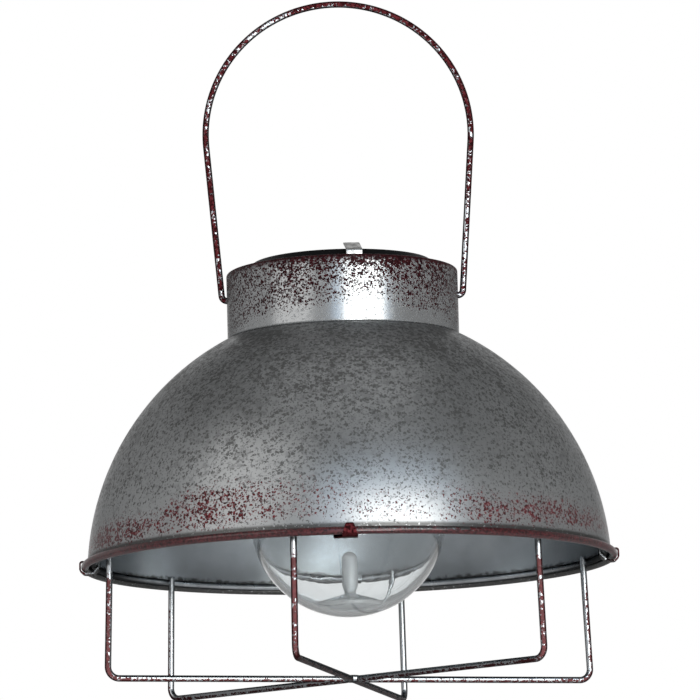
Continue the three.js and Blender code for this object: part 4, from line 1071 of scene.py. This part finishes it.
def tab_part(node, sizes):
    """A bare strip: up inside the collar, then bent in over the edge of the lamp unit."""
    points = unturned(node)
    thickness, width = sizes.tab_thickness, np.ptp(points[:, 1])
    bend, edge, end_gap = 0.001, 0.0003, 0.0002
    outer = points[:, 0].max() - thickness / 2
    bottom, top = points[:, 2].min(), points[:, 2].max()
    tip = points[:, 0].min() + end_gap
    corners = [(outer, bottom), (outer, COLLAR_TOP + sizes.tab_stand), (tip, top - thickness / 2)]
    path = at_front(resampled(rounded(corners, bend), 0.0007))
    part = swept_part(path, strip_section(thickness, width, edge), (1, 0, 0), edge)
    return turned_about(part, azimuth_of(node))


# ---------------------------------------------------------------- wires
# how thickly the bail is painted: way along it from the right-hand tip, and share
BAIL_PAINT = np.array([
    (0.00, 0.55), (0.03, 0.65), (0.12, 0.66), (0.20, 0.84), (0.26, 1.00), (0.36, 0.94), (0.44, 0.94),
    (0.50, 1.00), (0.55, 0.96), (0.585, 0.60), (0.62, 0.80), (0.68, 0.86), (0.72, 0.76),
    (0.76, 1.00), (0.82, 0.94), (0.88, 0.98), (0.94, 0.86), (1.00, 0.75),
])


def bail_part(sizes, sides=24):
    """Half a circle on two straight legs that touch it, with tips bent in through the collar.

    From the leg's foot, a line that touches the circle of radius r at a distance d from its
    centre leans asin(r / d) off the line to the centre.
    """
    pivot, radius = PIVOT[2], sizes.arch_radius
    arch_z = high("bail").z - WIRE_R - radius
    foot_x = COLLAR_R + sizes.side_gap + WIRE_R
    tip_x = front_radius("unit_housing") + 0.0012
    rise = arch_z - pivot
    away = math.atan2(rise, -foot_x)
    lean = math.pi / 2 - (away - math.asin(radius / math.hypot(rise, foot_x)))
    arch = arc((0, arch_z), radius, -math.degrees(lean), 180 + math.degrees(lean), 160)
    foot = rounded([(tip_x, pivot), (foot_x, pivot), arch[0]], sizes.bail_bend, 8)[:-1]
    path = resampled(np.concatenate([foot, arch, foot[::-1] * (-1, 1)]), WIRE_STEP)
    path = np.stack([path[:, 0], 0 * path[:, 0], path[:, 1]], axis=1)
    along = np.interp(np.linspace(0, 1, len(path)), BAIL_PAINT[:, 0], BAIL_PAINT[:, 1])
    cover = painted_side(along, sides, 0, 75)
    return swept_part(path, circle_section(WIRE_R, sides), (0, -1, 0), cover=cover)


def painted_side(along, sides, bare, full):
    """Paint sprayed from outside: none round the wire's inner side, all of it on the outer.

    along is the share at each station; the angle from the inner side eases it in between the
    two angles bare and full.
    """
    angle = np.degrees(np.arange(sides) * TAU / sides)
    angle = np.minimum(angle, 360 - angle)
    return along[:, None] * eased(angle, bare, full)


def leg_part(node, sizes, sides=20):
    """A guard leg: down from the ring's inner side, round its corner, and in to the hub.

    Its outer and lower side is painted, but for the top, which the shade's rim kept clean. Past
    the corner the paint keeps lower on the wire and thins a little.
    """
    points = unturned(node)
    top = points[:, 2].max()
    top_r = points[points[:, 2] > top - 0.0005][:, 0].mean()
    foot_r = points[:, 0].max() - WIRE_R
    hub_reach, chalkiness = 0.0030, 0.32
    corners = [(top_r, top), (foot_r, WIRE_R), (hub_reach, WIRE_R)]
    path = resampled(rounded(corners, sizes.leg_bend, 10), WIRE_STEP)
    run = run_along(path) / MM
    past_corner = eased(run, 60, 75)
    along = 0.93 * eased(run, 7, 15) * (1 - 0.14 * past_corner)
    cover = (painted_side(along * (1 - past_corner), sides, 45, 100)
             + painted_side(along * past_corner, sides, 82, 108))
    part = swept_part(at_front(path), circle_section(WIRE_R, sides), (1, 0, 0), cover=cover,
                      pale=np.full(cover.shape, chalkiness))
    return turned_about(part, azimuth_of(node))


def hub_part(segments=64):
    """The weld button: a flattened lump whose radius wanders with the azimuth.

    At the angle e from its waist the radius is r cos(e)^0.6 and the height h / 2 (1 + sin(e)^0.8).
    """
    radius, height = front_radius("guard_hub"), high("guard_hub").z
    angle = np.radians(np.linspace(-90, 90, 25))[:, None]
    azimuth = np.arange(segments) * TAU / segments
    wander = 1 - 0.07 * (1 + np.sin(3 * azimuth + 0.5)) - 0.04 * (1 + np.sin(5 * azimuth + 2.0))
    r = radius * wander * np.cos(angle) ** 0.6
    z = height / 2 * (1 + np.sign(np.sin(angle)) * np.abs(np.sin(angle)) ** 0.8) + 0 * r
    r[[0, -1]] = 0
    return turned_part((r, z), segments, closed=False)


def clip_part(node, sizes):
    """A strip folded from inside the ring, under both, and up over the curled rim.

    The arm inside the ring is wide and off the middle; the fold outside narrows to a tip. Its
    corners, edges and widths are those of the frame's clip, whose slanted side keeps a clearance
    from the ring's corners.
    """
    points = unturned(node)
    t = sizes.clip_thickness
    clearance, slope, edge = 0.00036, 0.00162, 0.0002
    outer, inner = points[:, 0].max() - t / 2, points[:, 0].min() + t / 2
    low_z, high_z = points[:, 2].min() + t / 2, points[:, 2].max() - t / 2
    arm = points[points[:, 0] < inner + t]
    fold = points[points[:, 0] > outer - 0.002]
    left, right = arm[:, 1].min(), arm[:, 1].max()
    half = np.ptp(fold[fold[:, 2] < low_z + 0.003][:, 1]) / 2
    slant = RING_R + RING_Z - math.sqrt(2) * (WIRE_R / math.cos(math.pi / 6) + 0.0006) - clearance
    corners = np.array([
        (inner, arm[:, 2].max()), (inner, slant - inner), (slant - low_z, low_z),
        (outer - slope, low_z), (outer, low_z + slope), (outer, high_z), (fold[:, 0].min(), high_z)])
    edges = np.array([
        (left, right), (left, right), (left, right), (-half, half), (-half, half),
        (-0.58 * half, 0.58 * half), (-0.22 * half, 0.22 * half)])
    path = resampled(rounded(corners, sizes.clip_bend), 0.0004)
    where, marks = run_along(path), run_along(corners)
    where /= where[-1]
    marks /= marks[-1]
    start, end = (np.interp(where, marks, edges[:, k]) for k in (0, 1))
    section = strip_section(t, 1.0, edge)
    cover = np.repeat(np.clip(3.0 * where - 0.7, 0, 1.3)[:, None], len(section), axis=1)
    part = swept_part(at_front(path), section, (1, 0, 0), edge, widths=end - start,
                      offsets=(start + end) / 2, cover=cover)
    return turned_about(part, azimuth_of(node))


# ---------------------------------------------------------------- lamp unit
def lid_part(sizes, segments=256):
    """The cover: a round flange, a slope and a raised top, with a square recess in its middle.

    From the raised top's rim inwards the rings change from a circle to the recess's square:
    a square's radius at azimuth a is its half side over max(|cos a|, |sin a|).
    """
    outer, lid_low, lid_top = front_radius("solar_lid"), low("solar_lid").z, high("solar_lid").z
    half = high("solar_panel").x + 0.0003
    recess_z = low("solar_panel").z - 0.0003
    flange_top = lid_top - sizes.boss_height
    flange_low = flange_top - sizes.flange
    under_r, under_bend = 0.0428, 0.0003
    rim = sizes.boss_radius - 0.001
    under = rounded([(under_r - 0.0016, lid_low), (under_r, lid_low), (under_r, flange_low)],
                    under_bend, 3)
    upper = rounded([(under_r + 0.0002, flange_low), (outer, flange_low), (outer, flange_top),
                     (sizes.boss_radius + sizes.slope, flange_top), (sizes.boss_radius, lid_top),
                     (rim, lid_top)], [0, 0.0003, 0.0006, 0.0008, 0.0010, 0], 5)
    radius, height = spread(np.concatenate([[(0, lid_low)], under, upper]), segments)
    azimuth = np.arange(segments) * TAU / segments
    square = half / np.maximum(np.abs(np.cos(azimuth)), np.abs(np.sin(azimuth)))
    # the rings of the recess: how square each is, how far outside the square, and its height
    squareness, outside, level = np.array([
        (0.5, 0, lid_top), (1, 0.0004, lid_top), (1, 0.0001, lid_top - 0.0001),
        (1, 0, lid_top - 0.0004), (1, 0, recess_z), (0, 0, recess_z)]).T[..., None]
    recess = rim * (1 - squareness) + (square + outside) * squareness
    recess[-1] = 0
    radius = np.concatenate([radius, recess])
    height = np.concatenate([height, level + 0 * recess])
    return turned_part((radius, height), segments, closed=False)


def screw_part(node, segments=64):
    """A pan-head screw, head down, with a cross recess pressed into its head.

    The head's lower face is raised where the larger of |x|, |y| is inside the arms' length and
    the smaller inside their half width.
    """
    lowest, highest = np.array(low(node)), np.array(high(node))
    middle = (lowest + highest) / 2
    head = (highest - lowest)[0] / 2
    height, shank, point = 0.0018, 0.48 * head, 0.001
    ring = np.linspace(0, 1, 24)[:, None]
    azimuth = np.arange(segments) * TAU / segments
    r = head * ring + 0 * azimuth
    x, y = np.abs(r * np.sin(azimuth)), np.abs(r * np.cos(azimuth))
    arm = np.clip((0.62 * head - np.maximum(x, y)) / (0.12 * head), 0, 1)
    slot = np.clip((0.15 * head - np.minimum(x, y)) / (0.06 * head), 0, 1)
    z = lowest[2] + height * (0.45 * ring ** 3 + 0.55 * arm * slot)
    shoulder = lowest[2] + height
    rest_r, rest_z = spread(np.array([
        (head, shoulder), (shank, shoulder), (shank, highest[2] - point), (0, highest[2])]), segments)
    profile = np.concatenate([r, rest_r]), np.concatenate([z, rest_z])
    points, quads, marks = turned_part(profile, segments, closed=False)
    return points + (*middle[:2], 0), quads, marks


def socket_part():
    """The cup under the drum, which takes the bulb's neck, with two screw ears."""
    outer, z0, z1 = front_radius("lamp_socket"), low("lamp_socket").z, high("lamp_socket").z
    hole, half_ear, collar = 0.005, 0.004, 0.0024
    bore, slim, plate = outer - 0.0024, outer - 0.00096, z1 - 0.002
    profile = rounded(
        [(hole, z1), (hole, plate), (bore, plate), (bore, z0), (outer, z0), (outer, z0 + collar),
         (slim, z0 + 2 * collar), (slim, z1), (hole + 0.0002, z1)],
        [0, 0.0002, 0.0004, 0.0005, 0.0005, 0.0006, 0.0006, 0.0002, 0], 4)
    ears = []
    for side in (-1, 1):
        left, right = sorted([side * (bore + 0.0012), side * high("lamp_socket").x])
        ears.append(block_part((left, -half_ear, plate), (right, half_ear, z1), 0.0005))
    return [turned_part(profile, 128)] + ears


def bulb_part(sizes):
    """A ball with a neck: two circles and a fillet that touches both, walls a thickness apart.

    With the ball's radius r, the neck's n and the fillet's f, the fillet's centre lies at the
    radius n + f and at the height sqrt((r + f)^2 - (n + f)^2) above the ball's.
    """
    ball, top = front_radius("bulb"), high("bulb").z
    centre = low("bulb").z + ball
    lip, lip_bend = 0.0005, 0.0004

    def wall(inset):
        """The outline from the ball's lowest point up the neck, drawn in by an inset."""
        r, neck, fillet = ball - inset, sizes.neck_radius - inset, sizes.neck_fillet + inset
        fillet_z = centre + math.sqrt((r + fillet) ** 2 - (neck + fillet) ** 2)
        meet = math.degrees(math.atan2(fillet_z - centre, neck + fillet))
        body = arc((0, centre), r, -90, meet, 96)
        throat = arc((neck + fillet, fillet_z), fillet, 180 + meet, 180, 20)[1:]
        straight = line((neck, fillet_z + 1e-4), (neck, top - 0.0004), 8)
        return np.concatenate([body, throat, straight])

    outer, inner = wall(0), wall(sizes.bulb_wall)
    outer[0, 0] = inner[0, 0] = 0
    outer_r, inner_r = sizes.neck_radius, sizes.neck_radius - sizes.bulb_wall
    mouth = rounded([(outer_r, top - lip), (outer_r, top), (inner_r, top), (inner_r, top - lip)],
                    lip_bend, 4)
    return turned_part(np.concatenate([outer, mouth, inner[::-1]]), 160, closed=False)


def pin_part():
    """The frosted pin: a dished foot, a cone, a narrow waist and a round-nosed pin.

    The foot's underside is part of a ball through its lowest point and its edge, of the radius
    (r^2 / h + h) / 2 for an edge of radius r at a height h.
    """
    bottom, top = low("diffuser_pin").z, high("diffuser_pin").z
    foot_r, pin_r, waist_r = front_radius("diffuser_pin"), 0.0034, 0.0019
    pin, cone, rim = 0.018, 0.0032, 0.0016
    waist_z = top - pin
    rim_z = waist_z - cone
    rise = rim_z - rim - bottom
    ball = (foot_r ** 2 / rise + rise) / 2
    sweep = math.degrees(math.asin(foot_r / ball))
    under = arc((0, bottom + ball), ball, -90, sweep - 90, 24)
    upper = rounded([under[-1], (foot_r, rim_z), (0.86 * foot_r, rim_z + 0.0004),
                     (waist_r, waist_z), (waist_r + 0.0004, waist_z + 0.0006),
                     (pin_r, waist_z + pin_r)], [0, 0.0006, 0.0008, 0.0008, 0.0004, 0], 5)[1:]
    nose = arc((0, top - pin_r), pin_r, 0, 90, 16)
    under[0, 0] = nose[-1, 0] = 0
    return turned_part(np.concatenate([under, upper, nose]), 96, closed=False)


def knob_part():
    """The slide switch's knob: a square stem with rounded edges."""
    lowest, highest = np.array(low("switch_knob")), np.array(high("switch_knob"))
    middle, half = (lowest + highest)[:2] / 2, 0.0015
    return block_part((*(middle - half), lowest[2]), (*(middle + half), highest[2]), 0.0003)


# ---------------------------------------------------------------- operators
class MakeFinishes(bpy.types.Operator):
    """Makes every finish, and paints the CAD nodes that stay in sight."""

    bl_idname = "lantern.make_finishes"
    bl_label = "Finishes"

    def execute(self, context):
        FINISHES.update(paint_finishes(context.scene))
        slots = {part["node"]: part["material_slot"] for part in frame["record"]["subparts"]}
        for name, node in frame["nodes"].items():
            node.data.materials.clear()
            node.data.materials.append(FINISHES[slots[name]])
        return {"FINISHED"}


class MakeShade(bpy.types.Operator):
    """Makes the spun shade with its curled rim."""

    bl_idname = "lantern.make_shade"
    bl_label = "Shade"

    def execute(self, context):
        part = shade_part(context.scene.lantern_shade_sizes)
        piece("spun_shade", part, "galvanised_shade", "dome_shade")
        return {"FINISHED"}


class MakeCollar(bpy.types.Operator):
    """Makes the collar and the tabs that hold the lamp unit down."""

    bl_idname = "lantern.make_collar"
    bl_label = "Collar and tabs"

    def execute(self, context):
        part = collar_part(context.scene.lantern_shade_sizes)
        piece("drawn_collar", part, "galvanised_collar", "collar")
        for node in TABS:
            strip = tab_part(node, context.scene.lantern_wire_sizes)
            piece(node + "_strip", strip, "bare_strip", node)
        return {"FINISHED"}


class MakeBail(bpy.types.Operator):
    """Makes the wire bail."""

    bl_idname = "lantern.make_bail"
    bl_label = "Bail"

    def execute(self, context):
        part = bail_part(context.scene.lantern_wire_sizes)
        piece("bail_wire", part, "rust_speckled_wire", "bail", BAIL)
        return {"FINISHED"}


class MakeGuard(bpy.types.Operator):
    """Makes the guard's ring, legs, weld button and clips."""

    bl_idname = "lantern.make_guard"
    bl_label = "Guard"

    def execute(self, context):
        sizes = context.scene.lantern_wire_sizes
        ring = turned_part(arc((RING_R, RING_Z), WIRE_R, 0, 360, 24)[:-1], 256)
        piece("guard_ring_wire", ring, "bright_wire", "guard_ring")
        for node in LEGS:
            piece(node + "_wire", leg_part(node, sizes), "rust_speckled_wire", node)
        piece("guard_weld", hub_part(), "bright_wire", "guard_hub")
        for node in CLIPS:
            piece(node + "_strip", clip_part(node, sizes), "rust_painted_strip", node)
        return {"FINISHED"}


class MakeLampUnit(bpy.types.Operator):
    """Makes the lamp unit's cover, panel, screws, socket and knob."""

    bl_idname = "lantern.make_lamp_unit"
    bl_label = "Lamp unit"

    def execute(self, context):
        sizes = context.scene.lantern_unit_sizes
        piece("solar_cover", lid_part(sizes), "black_plastic", "solar_lid")
        panel = block_part(low("solar_panel"), high("solar_panel"), 0.0003, steps=2)
        piece("solar_cells", panel, "solar_cell", "solar_panel")
        for node in SCREWS:
            piece(node + "_fine", screw_part(node), "screw_steel", node)
        piece("socket_cup", socket_part(), "black_plastic", "lamp_socket")
        piece("knob_cap", knob_part(), "white_plastic", "switch_knob", KNOB)
        return {"FINISHED"}


class MakeBulb(bpy.types.Operator):
    """Makes the bulb and the frosted pin inside it."""

    bl_idname = "lantern.make_bulb"
    bl_label = "Bulb"

    def execute(self, context):
        part = bulb_part(context.scene.lantern_unit_sizes)
        bulb = piece("clear_bulb", part, "clear_plastic", "bulb")
        bulb.visible_shadow = False  # light passes the clear wall and reaches the pin and the shade
        piece("frosted_pin", pin_part(), "frosted_plastic", "diffuser_pin")
        return {"FINISHED"}


# ---------------------------------------------------------------- stage
# azimuth and elevation in degrees, distance and size in metres, power in watts, and colour
LAMPS = {
    "key": (21, 4, 2.0, (1.40, 1.40), 21.5, (1.0, 0.965, 0.88)),
    "fringe": (18, 16, 2.1, (2.2, 1.7), 9.5, (0.48, 0.72, 1.0)),
    "low": (10, -21, 1.0, (0.30, 0.20), 1.6, (0.97, 0.99, 1.0)),
    "fill": (-51, 26, 2.0, (1.5, 1.8), 6.0, (1.0, 0.99, 0.97)),
    "top": (0, 80, 2.0, (1.8, 1.8), 2.6, (1.0, 1.0, 1.0)),
}


def softbox(name, azimuth, elevation, distance, size, power, colour):
    """A soft lamp that faces the middle of the lantern."""
    target = np.array([0, 0, 0.12])
    a, e = math.radians(azimuth), math.radians(elevation)
    back = np.array([math.sin(a) * math.cos(e), -math.cos(a) * math.cos(e), math.sin(e)])
    data = bpy.data.lights.new(name, "AREA")
    data.shape, (data.size, data.size_y) = "RECTANGLE", size
    data.energy, data.color = power, colour
    lamp = add_object(name, data)
    lamp.location = target + back * distance
    lamp.rotation_euler = Vector(-back).to_track_quat("-Z", "Y").to_euler()
    lamp.visible_camera = False


def place_camera(scene, stage):
    """A camera that looks along (sin y cos p, cos y cos p, sin p), then leans by its roll."""
    y, p = stage.yaw, stage.pitch
    forward = np.array([math.sin(y) * math.cos(p), math.cos(y) * math.cos(p), math.sin(p)])
    right = np.cross(forward, (0, 0, 1))
    right /= np.linalg.norm(right)
    up = np.cross(right, forward)
    c, s = math.cos(stage.roll), math.sin(stage.roll)
    right, up = c * right + s * up, c * up - s * right
    data = bpy.data.cameras.new("camera")
    data.lens, data.sensor_width = stage.lens, 36.0
    data.clip_start, data.clip_end = 0.05, 50.0
    camera = add_object("camera", data)
    matrix = np.eye(4)
    matrix[:3] = np.stack([right, up, -forward, (stage.aside, -stage.distance, stage.height)], axis=1)
    camera.matrix_world = Matrix(matrix.tolist())
    scene.camera = camera


def lay_floor(height, reach=9.0):
    """Pale paper, lit like the room for the camera, and clear when it is seen from below."""
    mesh = bpy.data.meshes.new("floor")
    corners = [(x * reach, y * reach, height) for x, y in ((-1, -1), (1, -1), (1, 1), (-1, 1))]
    mesh.from_pydata(corners, [], [(0, 1, 2, 3)])
    add_object("floor", mesh)
    paper, tree, shader, _ = new_material("floor paper")
    seen = put(tree, "ShaderNodeLightPath").outputs["Is Camera Ray"]
    feed(tree, shader, Base_Color=grey(0.82), Roughness=0.9, Emission_Color=grey(1.0),
         Emission_Strength=times(tree, seen, 0.48))
    behind = put(tree, "ShaderNodeNewGeometry").outputs["Backfacing"]
    clear = put(tree, "ShaderNodeBsdfTransparent").outputs[0]
    both = put(tree, "ShaderNodeMixShader", {0: behind, 1: shader.outputs[0], 2: clear}).outputs[0]
    tree.links.new(both, tree.nodes["Material Output"].inputs["Surface"])
    mesh.materials.append(paper)


def light_world(world, strength=0.30, room=0.42):
    """Light for the object, and what the camera, metal and glass see of the studio.

    The camera sees white all round. Mirrored and refracted rays see the white backdrop where
    they run away from the camera, and elsewhere a grey room that darkens towards its ceiling
    and its right-hand side.
    """
    world.use_nodes = True
    tree = world.node_tree
    path = put(tree, "ShaderNodeLightPath").outputs
    x, y, z = split_up(tree, put(tree, "ShaderNodeTexCoord").outputs["Generated"])
    walls = times(tree, ramp(tree, z, 0.35, 0.90, room, 0.26 * room),
                  ramp(tree, x, 0.1, 0.95, 1.0, 0.70))
    away = plus(tree, y, ramp(tree, z, 0.30, 0.55, 0.0, 0.12))
    mirrored = mix_value(tree, ramp(tree, away, 0.86, 0.99), walls, 1.0)
    bounced = larger(tree, path["Is Glossy Ray"], path["Is Transmission Ray"])
    level = mix_value(tree, bounced, strength, mirrored)
    level = mix_value(tree, path["Is Camera Ray"], level, 1.0)
    light = put(tree, "ShaderNodeBackground", {"Color": grey(1.0), "Strength": level}).outputs[0]
    tree.links.new(light, tree.nodes["World Output"].inputs["Surface"])


class MakeStage(bpy.types.Operator):
    """Makes the camera, the floor, the background and the lamps."""

    bl_idname = "lantern.make_stage"
    bl_label = "Stage"

    def execute(self, context):
        stage = context.scene.lantern_stage
        place_camera(context.scene, stage)
        lay_floor(stage.floor)
        context.scene.world = bpy.data.worlds.new("studio")
        light_world(context.scene.world)
        for name, lamp in LAMPS.items():
            softbox(name, *lamp)
        context.scene.view_settings.view_transform = "Standard"
        return {"FINISHED"}


# ---------------------------------------------------------------- the add-on
class LanternPanel(bpy.types.Panel):
    """Lists the lantern's pieces and sizes."""

    bl_idname = "LANTERN_PT_pieces"
    bl_label = "Hanging lantern"
    bl_space_type = "VIEW_3D"
    bl_region_type = "UI"
    bl_category = "Lantern"

    def draw(self, context):
        for operator in OPERATORS:
            self.layout.operator(operator.bl_idname)
        for name, group in SETTINGS.items():
            box = self.layout.box()
            box.label(text=group.__doc__)
            for prop in group.__annotations__:
                box.prop(getattr(context.scene, name), prop)


SETTINGS = {
    "lantern_shade_sizes": LanternShadeSizes,
    "lantern_wire_sizes": LanternWireSizes,
    "lantern_unit_sizes": LanternUnitSizes,
    "lantern_colours": LanternColours,
    "lantern_stage": LanternStage,
}
OPERATORS = (MakeFinishes, MakeShade, MakeCollar, MakeBail, MakeGuard, MakeLampUnit, MakeBulb, MakeStage)


def register():
    """Registers the settings, the operators and the panel."""
    for group in SETTINGS.values():
        bpy.utils.register_class(group)
    for name, group in SETTINGS.items():
        setattr(bpy.types.Scene, name, PointerProperty(type=group))
    for operator in (*OPERATORS, LanternPanel):
        bpy.utils.register_class(operator)


def unregister():
    """Removes what register added."""
    for operator in (LanternPanel, *reversed(OPERATORS)):
        bpy.utils.unregister_class(operator)
    for name, group in SETTINGS.items():
        delattr(bpy.types.Scene, name)
        bpy.utils.unregister_class(group)


def main():
    """Registers the classes and makes every piece in order."""
    register()
    for operator in OPERATORS:
        family, action = operator.bl_idname.split(".")
        getattr(getattr(bpy.ops, family), action)()
    bpy.context.view_layer.update()


if __name__ == "__main__":
    main()
